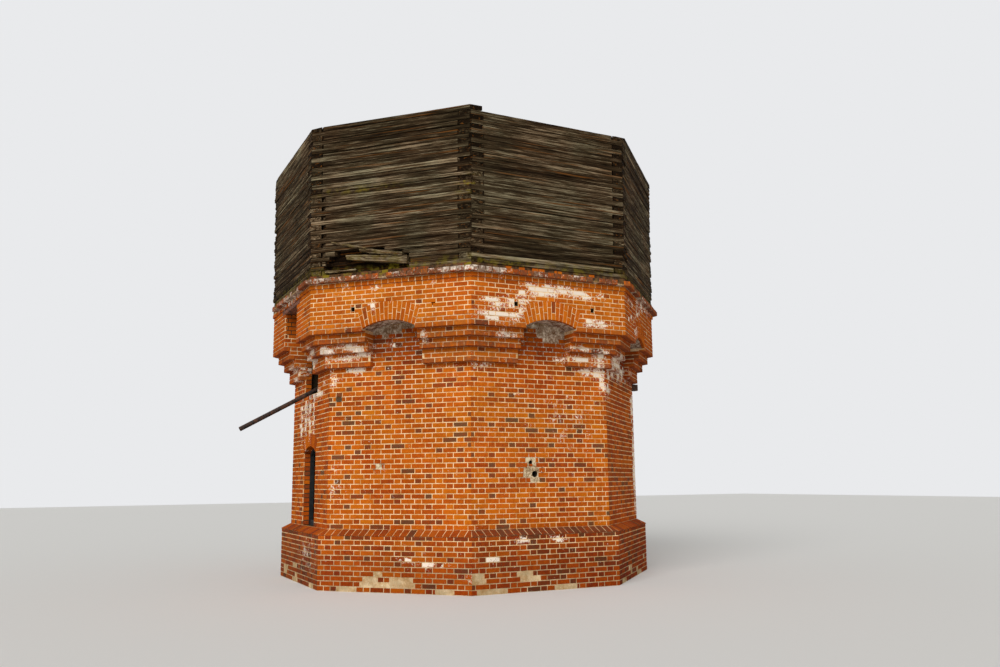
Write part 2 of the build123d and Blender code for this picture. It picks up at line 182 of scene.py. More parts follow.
class Graph:
    """A material's nodes, with short calls for what the finishes share."""

    def __init__(self, name: str, roughness: float, specular: float) -> None:
        """Starts a material whose plain numbers stand on its shader.

        Args:
            name: Name of the material.
            roughness: Roughness of the surface.
            specular: Specular level.
        """
        self.material = bpy.data.materials.new(name)
        self.material.use_nodes = True
        self.tree = self.material.node_tree
        self.shader = self.tree.nodes["Principled BSDF"]
        self.shader.inputs["Roughness"].default_value = roughness
        self.shader.inputs["Specular IOR Level"].default_value = specular
        self.place = self.tree.nodes.new("ShaderNodeTexCoord").outputs["Object"]

    def join(self, socket: Socket, value: object) -> None:
        """Links an output to a socket, or sets a plain value on it.

        Args:
            socket: The input that is fed.
            value: A node's output, a number or a colour.
        """
        if isinstance(value, Socket):
            self.tree.links.new(value, socket)
        else:
            socket.default_value = value

    def noise(self, scale: float, detail: float = 3.0, rough: float = 0.55,
              vector: Optional[Socket] = None) -> Socket:
        """Noise from 0 to 1.

        Args:
            scale: Cells to a metre.
            detail: Octaves.
            rough: Weight of the finer octaves.
            vector: Where it is read, or None for object coordinates.

        Returns:
            The noise's value.
        """
        node = self.tree.nodes.new("ShaderNodeTexNoise")
        self.join(node.inputs["Vector"], vector or self.place)
        node.inputs["Scale"].default_value = scale
        node.inputs["Detail"].default_value = detail
        node.inputs["Roughness"].default_value = rough
        return node.outputs["Fac"]

    def attribute(self, name: str, output: str = "Fac") -> Socket:
        """Value of a mesh attribute.

        Args:
            name: The attribute.
            output: Fac for a number, Vector for a place.

        Returns:
            Its value.
        """
        node = self.tree.nodes.new("ShaderNodeAttribute")
        node.attribute_name = name
        return node.outputs[output]

    def math(self, kind: str, first: object, second: object = 0.0) -> Socket:
        """Any operation on one or two values.

        Args:
            kind: Blender's name of the operation.
            first: First value.
            second: Second value, where the operation has one.

        Returns:
            The result.
        """
        node = self.tree.nodes.new("ShaderNodeMath")
        node.operation = kind
        self.join(node.inputs[0], first)
        self.join(node.inputs[1], second)
        return node.outputs[0]

    def plus(self, first: object, second: object) -> Socket:
        """Sum of two values."""
        return self.math("ADD", first, second)

    def times(self, first: object, second: object) -> Socket:
        """Product of two values."""
        return self.math("MULTIPLY", first, second)

    def weighed(self, first: Socket, share: float, second: Socket) -> Socket:
        """Two values put together by the share of the first, where the second takes the rest."""
        return self.plus(self.times(first, share), self.times(second, 1.0 - share))

    def remap(self, value: object, source: Span, target: Span = (0.0, 1.0)) -> Socket:
        """A value moved smoothly from one range to another, and held at its ends.

        Args:
            value: The value.
            source: Where it starts and ends.
            target: What these two become.

        Returns:
            The new value.
        """
        node = self.tree.nodes.new("ShaderNodeMapRange")
        node.interpolation_type = "SMOOTHSTEP"
        self.join(node.inputs["Value"], value)
        for name, number in zip(("From Min", "From Max", "To Min", "To Max"), (*source, *target)):
            node.inputs[name].default_value = number
        return node.outputs["Result"]

    def ramp(self, value: object, stops: Stops) -> Socket:
        """Colour that runs through stops.

        Args:
            value: Place between the stops.
            stops: Their places and hex colours.

        Returns:
            The colour.
        """
        node = self.tree.nodes.new("ShaderNodeValToRGB")
        self.join(node.inputs["Fac"], value)
        elements = node.color_ramp.elements
        while len(elements) < len(stops):
            elements.new(0.5)
        for element, (position, code) in zip(elements, stops):
            element.position = position
            element.color = linear(code)
        return node.outputs["Color"]

    def mix(self, factor: object, first: object, second: object, blend: str = "MIX") -> Socket:
        """Two colours mixed by a factor.

        Args:
            factor: 0 for the first colour, 1 for the second.
            first: First colour.
            second: Second colour.
            blend: Blender's name of the way they mix.

        Returns:
            The mixed colour.
        """
        node = self.tree.nodes.new("ShaderNodeMix")
        node.data_type = "RGBA"
        node.blend_type = blend
        self.join(node.inputs["Factor"], factor)
        self.join(node.inputs[6], first)
        self.join(node.inputs[7], second)
        return node.outputs[2]

    def split(self, vector: Socket) -> list[Socket]:
        """Parts of a vector.

        Args:
            vector: The vector.

        Returns:
            Its x, y and z.
        """
        node = self.tree.nodes.new("ShaderNodeSeparateXYZ")
        self.join(node.inputs[0], vector)
        return list(node.outputs)

    def height(self) -> Socket:
        """Height above the ground."""
        return self.split(self.place)[2]

    def between(self, height: Socket, rising: Span, falling: Span) -> Socket:
        """1 between two levels, with a smooth start and end, else 0."""
        return self.times(self.remap(height, rising), self.remap(height, falling))

    def reach(self) -> Socket:
        """Distance from the tower's axis, square to the nearest face.

        Returns:
            The distance.
        """
        x, y, _ = self.split(self.place)
        east = self.math("ABSOLUTE", self.math("SUBTRACT", x, AXIS.x))
        north = self.math("ABSOLUTE", y)
        slanted = self.times(self.plus(east, north), COS_TURN)
        return self.math("MAXIMUM", self.math("MAXIMUM", east, north), slanted)

    def near(self, point: Vector) -> Socket:
        """Distance from a point.

        Args:
            point: The point.

        Returns:
            The distance.
        """
        node = self.tree.nodes.new("ShaderNodeVectorMath")
        node.operation = "DISTANCE"
        self.join(node.inputs[0], self.place)
        node.inputs[1].default_value = point
        return node.outputs["Value"]

    def underside(self) -> Socket:
        """1 where the surface faces down, else 0."""
        node = self.tree.nodes.new("ShaderNodeTexCoord")
        return self.remap(self.split(node.outputs["Normal"])[2], (-0.35, -0.6))

    def stretched(self, vector: Socket, scale: Triple) -> Socket:
        """Coordinates scaled unevenly.

        Args:
            vector: The coordinates.
            scale: Scale of each part.

        Returns:
            The new coordinates.
        """
        node = self.tree.nodes.new("ShaderNodeMapping")
        self.join(node.inputs["Vector"], vector)
        node.inputs["Scale"].default_value = scale
        return node.outputs["Vector"]

    def bump(self, height: object, strength: float, distance: float) -> None:
        """Gives the shader a bump map.

        Args:
            height: Height of the surface, from 0 to 1.
            strength: Strength of the bump.
            distance: How far 1 stands out, in metres.
        """
        node = self.tree.nodes.new("ShaderNodeBump")
        node.inputs["Strength"].default_value = strength
        node.inputs["Distance"].default_value = distance
        self.join(node.inputs["Height"], height)
        self.join(self.shader.inputs["Normal"], node.outputs["Normal"])

    def finish(self, colour: object) -> bpy.types.Material:
        """Gives the shader its colour and returns the material."""
        self.join(self.shader.inputs["Base Color"], colour)
        return self.material


@dataclass(frozen=True)
class BrickFinish:
    """Weathered fired brick, each brick with a tone of its own."""

    name: str
    stops: Stops
    cornice_shade: float = 0.2  # painted shade under the cornice: how much darker it is there
    # levels where the painted shade under the cornice starts and ends
    cornice_shade_start: Span = (3.3, 3.6)
    cornice_shade_end: Span = (4.08, 3.93)
    foot: Span = (1.0, 0.0)  # levels between which the bricks get darker towards the ground
    faded: str = "b07040"
    rosy: str = "ffccac"
    olive: str = "e6dc90"
    # tint of the painted shade under the cornice and of the darkening towards the ground
    shade_and_foot_tint: str = "a8694c"
    # painted shade on undersides
    underside_shade: str = "8a5a44"
    lime: str = "fff0dc"
    grime: str = "6c4a34"
    moss: str = "8a7a1e"

    def fired(self, graph: Graph) -> Socket:
        """Colours the clean bricks: each by its tone, speckled, with a broad drift of the hue.

        Args:
            graph: The material's nodes.

        Returns:
            The colour.
        """
        mottle = graph.noise(26.0, 4.0, 0.6)
        tone = graph.plus(graph.attribute("tone"), graph.remap(mottle, (0.25, 0.75), (-0.13, 0.13)))
        speckle = graph.remap(graph.noise(80.0, 4.0, 0.75), (0.3, 0.7), (0.74, 1.12))
        colour = graph.mix(1.0, graph.ramp(tone, self.stops), speckle, "MULTIPLY")
        broad = graph.remap(graph.noise(0.9, 3.0), (0.42, 0.68))
        colour = graph.mix(graph.times(broad, 0.3), colour, linear(self.faded), "MULTIPLY")
        warmth = graph.remap(graph.noise(1.3, 4.0, 0.6), (0.38, 0.62))
        return graph.mix(0.4, colour, graph.mix(warmth, linear(self.rosy), linear(self.olive)), "MULTIPLY")

    def darkened(self, graph: Graph, colour: Socket) -> Socket:
        """Paints shade under the cornice and on undersides, and darkens the bricks towards the ground.

        Args:
            graph: The material's nodes.
            colour: Colour of the clean bricks.

        Returns:
            The darker colour.
        """
        height = graph.height()
        # painted shade under the cornice; the foot only gets darker towards the ground
        cornice_shaded = graph.between(height, self.cornice_shade_start, self.cornice_shade_end)
        foot = graph.remap(height, self.foot, (0.0, 0.4))
        shade = graph.math("MAXIMUM", graph.times(cornice_shaded, self.cornice_shade), foot)
        colour = graph.mix(shade, colour, linear(self.shade_and_foot_tint), "MULTIPLY")
        # painted shade on surfaces that face down
        return graph.mix(graph.times(graph.underside(), 0.45), colour, linear(self.underside_shade), "MULTIPLY")

    def weathered(self, graph: Graph, colour: Socket) -> Socket:
        """Puts on lime bloom, grime and moss, as much as each brick was laid with.

        Args:
            graph: The material's nodes.
            colour: Colour of the bricks so far.

        Returns:
            The weathered colour.
        """
        grain = graph.weighed(graph.noise(30.0, 6.0, 0.78), 0.75, graph.noise(6.0, 4.0, 0.65))
        bloom = graph.plus(grain, graph.times(graph.attribute("bloom"), 0.26))
        colour = graph.mix(graph.remap(bloom, (0.62, 0.68), (0.0, 0.93)), colour, linear(self.lime))
        dirt = graph.attribute("dirt")
        grime = graph.times(dirt, graph.remap(graph.noise(13.0, 5.0, 0.65), (0.36, 0.56)))
        colour = graph.mix(grime, colour, linear(self.grime))
        patchy = graph.remap(graph.noise(5.0, 5.0), (0.46, 0.58))
        green = graph.times(graph.remap(dirt, (1.05, 1.2)), patchy)
        return graph.mix(graph.times(green, 0.85), colour, linear(self.moss))

    def build(self) -> bpy.types.Material:
        """Makes the material.

        Returns:
            The material.
        """
        graph = Graph(self.name, roughness=0.9, specular=0.04)
        colour = self.weathered(graph, self.darkened(graph, self.fired(graph)))
        graph.bump(graph.noise(85.0, 5.0, 0.7), 0.35, 0.0025)
        return graph.finish(colour)


@dataclass(frozen=True)
class MortarFinish:
    """Lime mortar of the beds and joints, which also coats the walls inside."""

    name: str
    clean: Stops = ((0.32, "c09660"), (0.42, "e4b070"), (0.56, "fddcaa"))
    # rough grey mortar, whose darker stops also paint shade in the niches and on undersides
    rough: Stops = ((0.40, "3a2418"), (0.47, "74584a"), (0.53, "a8998a"), (0.61, "e8decc"))
    # mortar round the mended holes, its darker stops painting shade there
    mended_and_shaded: Stops = ((0.40, "644a32"), (0.47, "b09674"), (0.55, "e4d2b0"))
    stained: Stops = ((0.42, "6e6248"), (0.52, "988468"), (0.62, "c8b894"))
    # darker browns and greens towards the top of the masonry, under the crib
    top_darkening: Stops = ((0.42, "35241a"), (0.56, "6a4a2c"), (0.66, "7c6c22"))
    # painted shadow in the hole of the lost brick
    hole_shadow: str = "2a120c"
    lime: str = "f2e4c6"
    # painted shade, near black, on the walls inside the tower
    interior_shade: str = "1c140e"
    niche_start: Span = (3.4, 3.7)
    niche_end: Span = (4.2, 4.1)
    niche_back: Span = (2.96, 2.95)
    foot: Span = (0.9, 0.3)
    top: Span = (4.79, 4.86)
    inside_levels: Span = (4.2, 4.28)  # where the room gets wider, and how far out it reaches below and above
    inside_reach: Span = (2.925, 3.31)

    def mend(self, graph: Graph, colour: Socket, blotch: Socket) -> Socket:
        """Puts on the mended spots, mortar whose darker blotches are painted shade, and the painted shadow in the
        lost brick's hole.

        Args:
            graph: The material's nodes.
            colour: Colour of the mortar so far.
            blotch: Noise that breaks the mended spots up.

        Returns:
            The colour with both.
        """
        patch = graph.ramp(blotch, self.mended_and_shaded)
        # mended mortar with painted shade, and painted shadow in the lost brick's hole
        spots = [(*spot, 0.8, patch) for spot in MENDED] + [(*LOST_BRICK, 0.55, linear(self.hole_shadow))]
        for side, along, level, wide, solid, shade in spots:
            near = graph.near(side.local() @ Vector((along, -SHAFT_APOTHEM, level)))
            colour = graph.mix(graph.remap(near, (wide, wide * solid), (0.0, 0.92)), colour, shade)
        return colour

    def build(self) -> bpy.types.Material:
        """Makes the material.

        Returns:
            The material.
        """
        graph = Graph(self.name, roughness=0.95, specular=0.04)
        height, reach = graph.height(), graph.reach()
        blotch = graph.weighed(graph.noise(28.0, 6.0, 0.8), 0.6, graph.noise(9.0, 4.0, 0.6))
        rough = graph.ramp(blotch, self.rough)
        sand = graph.remap(graph.noise(70.0, 4.0, 0.7), (0.3, 0.6), (0.85, 1.08))
        colour = graph.mix(1.0, graph.ramp(graph.noise(7.0, 6.0, 0.7), self.clean), sand, "MULTIPLY")
        # in the niche, strongest at its back, the rough ramp stands partly for rough grey mortar and partly for
        # painted shade
        niche = graph.between(height, self.niche_start, self.niche_end)
        back = graph.remap(reach, self.niche_back, (0.35, 0.85))
        colour = self.mend(graph, graph.mix(graph.times(niche, back), colour, rough), blotch)
        foot = graph.ramp(graph.noise(5.0, 6.0, 0.7), self.stained)
        colour = graph.mix(graph.remap(height, self.foot, (0.0, 0.6)), colour, foot)
        bloom = graph.remap(graph.noise(22.0, 6.0, 0.7), (0.58, 0.72), (0.0, 0.6))
        colour = graph.mix(bloom, colour, linear(self.lime))
        # the mortar darkens to browns and greens towards the top of the masonry
        top = graph.remap(graph.plus(height, graph.times(graph.noise(30.0, 4.0), 0.08)), self.top)
        top_darkening = graph.ramp(graph.noise(9.0, 5.0, 0.65), self.top_darkening)
        colour = graph.mix(graph.times(top, 0.97), colour, top_darkening)
        # undersides take the rough ramp's darker colours as painted shade
        colour = graph.mix(graph.times(graph.underside(), 0.9), colour, rough)
        # painted shade, near black, on the walls inside the tower
        inside = graph.math("SUBTRACT", reach, graph.remap(height, self.inside_levels, self.inside_reach))
        colour = graph.mix(graph.remap(inside, (0.012, -0.012), (0.0, 0.94)), colour, linear(self.interior_shade))
        graph.bump(graph.noise(120.0, 4.0, 0.7), 0.4, 0.003)
        return graph.finish(colour)


@dataclass(frozen=True)
class TimberFinish:
    """Weathered softwood that reads its grain along each plank."""

    name: str
    stops: Stops = ((0.40, "1a1109"), (0.52, "4b3d2b"), (0.66, "bdae92"))
    warm: str = "f0c8a0"
    cold: str = "c8d0b0"
    rust: str = "84501f"
    moss: str = "8f7f24"
    coarse_grain: Triple = (0.9, 52.0, 52.0)
    fine_grain: Triple = (3.6, 200.0, 200.0)
    patches: Triple = (1.6, 12.0, 12.0)
    rust_streaks: Triple = (0.7, 40.0, 40.0)

    def build(self) -> bpy.types.Material:
        """Makes the material.

        Returns:
            The material.
        """
        graph = Graph(self.name, roughness=0.9, specular=0.04)
        grain = graph.attribute("grain", "Vector")
        coarse = graph.noise(1.0, 5.0, 0.66, graph.stretched(grain, self.coarse_grain))
        fine = graph.noise(1.0, 4.0, 0.7, graph.stretched(grain, self.fine_grain))
        streak = graph.weighed(coarse, 0.52, fine)
        patchy = graph.noise(1.0, 3.0, 0.6, graph.stretched(grain, self.patches))
        tone = graph.plus(streak, graph.remap(patchy, (0.3, 0.7), (-0.03, 0.03)))
        colour = graph.ramp(graph.plus(tone, graph.attribute("tone")), self.stops)
        hue = graph.remap(graph.noise(1.6, 3.0), (0.35, 0.65))
        colour = graph.mix(0.4, colour, graph.mix(hue, linear(self.warm), linear(self.cold)), "MULTIPLY")
        rust = graph.noise(1.0, 3.0, 0.5, graph.stretched(grain, self.rust_streaks))
        colour = graph.mix(graph.remap(rust, (0.6, 0.7), (0.0, 0.55)), colour, linear(self.rust))
        moss = graph.times(graph.attribute("moss"), graph.remap(graph.noise(9.0, 6.0, 0.65), (0.44, 0.62)))
        colour = graph.mix(moss, colour, linear(self.moss))
        graph.bump(streak, 0.7, 0.006)
        return graph.finish(colour)


@dataclass(frozen=True)
class SpottedFinish:
    """Old iron or paint, dark with lighter spots."""

    name: str
    dark: str = "1f1916"
    spots: str = "5a3a28"

    def build(self) -> bpy.types.Material:
        """Makes the material.

        Returns:
            The material.
        """
        graph = Graph(self.name, roughness=0.7, specular=0.3)
        colour = graph.ramp(graph.noise(18.0, 6.0, 0.65), ((0.4, self.dark), (0.66, self.spots)))
        graph.bump(graph.noise(90.0, 4.0, 0.7), 0.4, 0.002)
        return graph.finish(colour)


@dataclass(frozen=True)
class PlainFinish:
    """One flat colour, for the floor."""

    name: str
    colour: str

    def build(self) -> bpy.types.Material:
        """Makes the material."""
        return Graph(self.name, roughness=0.9, specular=0.1).finish(linear(self.colour))


# Where the shaft was mended round a hole: face, place along it, level and reach
MENDED = ((Side.SOUTH, -0.19, 1.83, 0.26), (Side.SOUTHWEST, -0.325, 1.89, 0.12))
# Where half a brick is gone and shadow is painted in its hole, given in the same way
LOST_BRICK = (Side.SOUTHWEST, -1.05, 2.966, 0.085)
SHAFT_STOPS = ((0.0, "de7e1a"), (0.35, "ca6416"), (0.6, "aa4e1a"), (0.8, "904e2c"), (1.0, "76543c"))
PLINTH_STOPS = ((0.0, "cc6e1a"), (0.35, "b65818"), (0.6, "98421a"), (0.8, "824428"), (1.0, "6c4c36"))
CORNICE_STOPS = ((0.0, "e48220"), (0.35, "d4701c"), (0.65, "b8581a"), (0.85, "984c24"), (1.0, "7a4c34"))


# Classes and functions of the brickwork


@dataclass(frozen=True)
class Gap:
    """A rectangle of a face that its courses leave open."""

    left: float
    right: float
    bottom: float
    top: float

    def span(self, low: float, high: float) -> Optional[Cut]:
        """What a course leaves open.

        Args:
            low: Underside of its bricks.
            high: Top of its bricks.

        Returns:
            The cut, or None where the course runs through.
        """
        if high <= self.bottom or low >= self.top:
            return None
        return (self.left, self.right, 0.0)


@dataclass(frozen=True)
class Arch:
    """A segmental arch of bricks on edge over an opening."""

    width: float
    rise: float
    ring: float
    spring: float
    foot: float
    bricks: int
    fan: float = 1.0  # lean of its bricks, as a share of the soffit's radii

    @property
    def radius(self) -> float:
        """Radius of the soffit."""
        return ((self.width / 2) ** 2 + self.rise ** 2) / (2 * self.rise)

    @property
    def centre(self) -> float:
        """Level of the arc's centre."""
        return self.spring + self.rise - self.radius

    @property
    def reach(self) -> float:
        """Angle from the crown to a springing."""
        return math.asin(self.width / 2 / self.radius)

    def point(self, angle: float, out: float) -> tuple[float, float]:
        """A place in the ring.

        Args:
            angle: Angle from the crown, along the soffit.
            out: Distance from the soffit, along the brick that stands there.

        Returns:
            Its distance from the middle, and its height over the arc's centre.
        """
        lean = self.fan * angle
        return (self.radius * math.sin(angle) + out * math.sin(lean),
                self.radius * math.cos(angle) + out * math.cos(lean))

    def half_width(self, level: float) -> float:
        """Half of what the opening and its ring take at a level.

        Args:
            level: The level.

        Returns:
            The distance from the middle.
        """
        if level <= self.spring:
            return self.width / 2 - JAMB_PROUD
        rise = level - self.centre
        shoulder, shoulder_rise = self.point(self.reach, self.ring)
        if rise < shoulder_rise:
            return shoulder - (shoulder_rise - rise) * math.tan(self.fan * self.reach)
        low, high = 0.0, self.reach
        for _ in range(16):
            middle = (low + high) / 2
            low, high = (middle, high) if self.point(middle, self.ring)[1] > rise else (low, middle)
        return self.point(low, self.ring)[0]

    def span(self, low: float, high: float) -> Optional[Cut]:
        """What a course leaves open, with sides that follow the ring.

        Args:
            low: Underside of its bricks.
            high: Top of its bricks.

        Returns:
            The cut, or None where the course runs through.
        """
        if high <= self.foot or low + 0.35 * (high - low) >= self.centre + self.radius + self.ring:
            return None
        lower, upper = self.half_width(low), self.half_width(high)
        half = (lower + upper) / 2
        return (-half, half, upper - lower)


@dataclass(frozen=True)
class Patch:
    """A patch of lime bloom on a face: its middle, its reach each way and its strength."""

    along: float
    level: float
    wide: float
    tall: float
    strength: float = 1.0


SOUTH_PATCHES = (
    Patch(-0.26, 4.58, 0.32, 0.10, 1.1), Patch(0.10, 4.60, 0.20, 0.06, 0.8), Patch(0.44, 4.60, 0.09, 0.06, 1.2),
    Patch(0.60, 4.56, 0.09, 0.05, 1.1), Patch(0.93, 4.58, 0.10, 0.05, 0.9), Patch(-0.56, 4.42, 0.16, 0.14, 0.75),
    Patch(-0.90, 4.34, 0.20, 0.10, 0.65), Patch(-1.12, 4.38, 0.12, 0.08, 0.6), Patch(-1.00, 4.16, 0.28, 0.12, 0.8),
    Patch(-0.62, 4.16, 0.12, 0.16, 0.7), Patch(0.70, 4.14, 0.20, 0.07, 0.6), Patch(0.98, 4.12, 0.20, 0.06, 0.5),
    Patch(-0.70, 3.87, 0.26, 0.06, 0.7), Patch(0.66, 3.74, 0.22, 0.05, 0.9), Patch(0.60, 3.58, 0.24, 0.06, 1.0),
    Patch(0.95, 3.38, 0.26, 0.06, 1.1), Patch(1.16, 3.24, 0.06, 0.16, 1.1), Patch(1.05, 3.6, 0.12, 0.2, 0.8),
    Patch(-1.20, 4.83, 0.32, 0.05, 1.5), Patch(-0.3, 4.83, 0.4, 0.04, 0.5), Patch(0.40, 4.83, 0.2, 0.04, 1.0),
    Patch(0.95, 4.83, 0.3, 0.04, 0.7), Patch(-0.05, 4.66, 0.12, 0.05, 0.9), Patch(0.2, 4.62, 0.16, 0.06, 0.9),
    Patch(-0.95, 0.50, 0.13, 0.04, 1.2), Patch(-0.42, 0.76, 0.18, 0.06, 0.8), Patch(0.12, 0.76, 0.15, 0.06, 0.8),
    Patch(-0.45, 2.98, 0.10, 0.05, 0.5), Patch(0.55, 2.7, 0.5, 0.5, 0.25), Patch(-1.05, 3.4, 0.3, 0.08, 0.5),
)
SOUTHWEST_PATCHES = (
    Patch(-0.72, 4.68, 0.07, 0.06, 1.2), Patch(-0.24, 4.64, 0.10, 0.05, 0.9), Patch(0.54, 4.61, 0.08, 0.05, 0.8),
    Patch(-0.44, 4.49, 0.05, 0.04, 0.9), Patch(-0.84, 4.18, 0.08, 0.05, 0.9), Patch(-0.75, 4.06, 0.16, 0.03, 0.7),
    Patch(0.47, 4.39, 0.06, 0.06, 0.7), Patch(-0.26, 4.37, 0.05, 0.06, 1.0), Patch(0.70, 4.67, 0.14, 0.04, 0.7),
    Patch(-1.18, 3.74, 0.22, 0.06, 1.0), Patch(-0.80, 3.77, 0.14, 0.05, 1.2), Patch(-0.58, 3.73, 0.12, 0.10, 1.0),
    Patch(-1.05, 3.60, 0.40, 0.05, 0.9), Patch(-0.75, 3.42, 0.32, 0.05, 0.8), Patch(-1.2, 3.30, 0.12, 0.14, 0.7),
    Patch(0.56, 3.84, 0.05, 0.10, 0.9), Patch(0.9, 3.40, 0.2, 0.04, 0.5), Patch(-0.10, 3.80, 0.07, 0.12, 0.8),
    Patch(1.22, 4.84, 0.30, 0.05, 1.5), Patch(-0.6, 4.83, 0.4, 0.04, 0.6), Patch(0.3, 4.83, 0.5, 0.04, 0.6),
    Patch(-1.2, 4.84, 0.2, 0.06, 0.9),
    Patch(-0.33, 1.86, 0.05, 0.03, 0.7), Patch(0.56, 0.42, 0.09, 0.05, 1.2), Patch(0.27, 0.47, 0.10, 0.04, 0.8),
    Patch(0.82, 0.42, 0.06, 0.03, 0.9), Patch(-1.08, 1.60, 0.12, 0.25, 0.5), Patch(1.25, 0.30, 0.10, 0.10, 0.8),
)
SOUTHEAST_PATCHES = (
    Patch(1.12, 1.9, 0.10, 0.75, 1.3), Patch(1.10, 3.0, 0.14, 0.35, 0.9), Patch(-0.6, 3.6, 0.5, 0.2, 0.9),
    Patch(0.2, 3.5, 0.5, 0.2, 0.7), Patch(-0.15, 4.60, 0.2, 0.15, 0.8), Patch(0.3, 4.75, 0.7, 0.08, 0.7),
    Patch(-0.4, 4.2, 0.15, 0.2, 0.7), Patch(-1.0, 3.2, 0.15, 0.3, 0.9), Patch(-1.05, 4.34, 0.05, 0.12, 0.9),
    Patch(-0.82, 4.40, 0.05, 0.14, 1.0), Patch(-0.62, 4.38, 0.05, 0.12, 0.9), Patch(-0.9, 4.62, 0.3, 0.05, 0.7),
)
WEST_PATCHES = (
    Patch(0.55, 3.65, 0.2, 0.12, 0.9), Patch(0.85, 3.80, 0.2, 0.08, 1.0), Patch(-0.7, 3.6, 0.3, 0.2, 0.7),
    Patch(-0.62, 2.75, 0.09, 0.40, 1.1), Patch(-0.34, 2.74, 0.09, 0.42, 1.2), Patch(-0.05, 2.80, 0.09, 0.38, 1.1),
    Patch(0.2, 2.74, 0.07, 0.34, 1.0), Patch(0.5, 3.15, 0.3, 0.12, 0.8), Patch(0.6, 0.5, 0.6, 0.3, 0.4),
    Patch(0.0, 4.80, 1.3, 0.10, 0.6), Patch(0.9, 3.35, 0.2, 0.1, 0.6),
)


def drawn_patches(seed: int) -> tuple[Patch, ...]:
    """Patches for a face that doesn't show, like those of the faces that do.

    Args:
        seed: Seed of their random draws.

    Returns:
        The patches.
    """
    draw = random.Random(seed)
    bands = ((4.1, 4.65, 9), (3.45, 3.95, 6), (4.80, 4.88, 4), (0.2, 0.7, 3), (3.2, 3.42, 2))
    return tuple(
        Patch(draw.uniform(-1.2, 1.2), draw.uniform(low, high), draw.uniform(0.06, 0.3),
              draw.uniform(0.04, 0.14), draw.uniform(0.6, 1.1))
        for low, high, count in bands for _ in range(count)
    )


PATCHES: dict[Side, tuple[Patch, ...]] = {
    Side.SOUTH: SOUTH_PATCHES,
    Side.SOUTHWEST: SOUTHWEST_PATCHES,
    Side.SOUTHEAST: SOUTHEAST_PATCHES,
    Side.WEST: WEST_PATCHES,
    Side.EAST: drawn_patches(5),
    Side.NORTHEAST: drawn_patches(6),
    Side.NORTH: drawn_patches(7),
    Side.NORTHWEST: drawn_patches(8),
}

# How much browner and darker the bricks of a face are, partly their own colour and partly painted shade on faces
# that get less light, and where bricks near its foot have come away
FACE_TONE_AND_SHADE: dict[Side, float] = {Side.WEST: 0.11, Side.SOUTH: 0.05, Side.SOUTHEAST: 0.2}
BARE_SPOTS: dict[Side, tuple[Gap, ...]] = {
    Side.SOUTHWEST: (Gap(-0.55, 0.37, 0.08, 0.15), Gap(-0.50, -0.24, 0.16, 0.22), Gap(-0.05, 0.34, 0.16, 0.22),
                     Gap(-0.28, -0.17, 0.24, 0.30), Gap(-0.95, -0.60, 0.0, 0.07), Gap(0.7, 1.0, 0.0, 0.07)),
    Side.SOUTH: (Gap(-0.54, -0.27, 0.24, 0.30), Gap(-0.45, -0.15, 0.16, 0.22), Gap(-1.28, -1.08, 0.16, 0.30),
                 Gap(-1.2, -0.7, 0.0, 0.07), Gap(0.1, 0.5, 0.0, 0.07)),
}


def bloom_at(side: Side, along: float, level: float) -> float:
    """Strength of the lime bloom.

    Args:
        side: The face.
        along: Place along it.
        level: Height of the place.

    Returns:
        The strength there.
    """
    total = 0.0
    for patch in PATCHES[side]:
        away = ((along - patch.along) / patch.wide) ** 2 + ((level - patch.level) / patch.tall) ** 2
        if away < 4.0:
            total += patch.strength * math.exp(-away)
    broken = noise.noise(Vector((along * 7.0, level * 11.0, 1.7 * side.value)))
    return min(total, 1.3) * (0.95 + 0.9 * broken)


def course_levels(bottom: float, course: int, height: float) -> Span:
    """Underside and top of the bricks of a course.

    Args:
        bottom: Level of the lowest course.
        course: Number of the course from there.
        height: Height of a course with its joint.

    Returns:
        The two levels.
    """
    low = bottom + course * height + HALF_JOINT
    return (low, low + height - 2 * HALF_JOINT)


@dataclass(frozen=True)
class Run:
    """A straight run of one course.

    Its own frame has x along the run, y into the wall and z up.
    """

    place: Matrix
    length: float
    low: float
    high: float
    bond: Bond = Bond.FLEMISH
    turn: int = 0
    mitred: bool = False
    shape: Shape = Shape.SHELL
    depth: float = 0.010
    open_spans: tuple[Cut, ...] = ()
    missing: float = 0.0
    wander: float = 0.0016

    def bricks(self) -> Iterator[tuple[float, float, bool]]:
        """The bricks with their joints, before anything is cut.

        Returns:
            Start and end of each, and whether it is a header.
        """
        if self.bond is Bond.SINGLE:
            yield (0.0, self.length, True)
        elif self.bond is Bond.HEADERS:
            count = max(round(self.length / HEADER), 1)
            step = self.length / count
            for number in range(count):
                yield (number * step, (number + 1) * step, True)
        else:
            count = max(round(2 * self.length / (STRETCHER + HEADER)), 1)
            step = self.length / count
            for number in range(count + 1):
                header = (number + self.turn) % 2 == 1
                half = step * (HEADER if header else STRETCHER) / (STRETCHER + HEADER)
                yield (max(number * step - half, 0.0), min(number * step + half, self.length), header)

    def laid(self) -> Iterator[tuple[float, float, bool, Span]]:
        """The bricks without their joints and without what an opening cuts off.

        Returns:
            Start, end, whether it is a header, and how far each end leans out upwards.
        """
        for start, end, header in self.bricks():
            start += 0.0 if self.mitred and start == 0.0 else HALF_JOINT
            end -= 0.0 if self.mitred and end == self.length else HALF_JOINT
            pieces = [(start, end, 0.0, 0.0)]
            for left, right, lean in self.open_spans:
                parts = []
                for piece in pieces:
                    low, high, low_lean, high_lean = piece
                    if high <= left or low >= right:
                        parts.append(piece)
                        continue
                    parts += [(low, left, low_lean, -lean), (right, high, lean, high_lean)]
                pieces = parts
            for low, high, low_lean, high_lean in pieces:
                if high - low >= min(SHORTEST_CUT, end - start):
                    yield (low, high, header, (low_lean, high_lean))


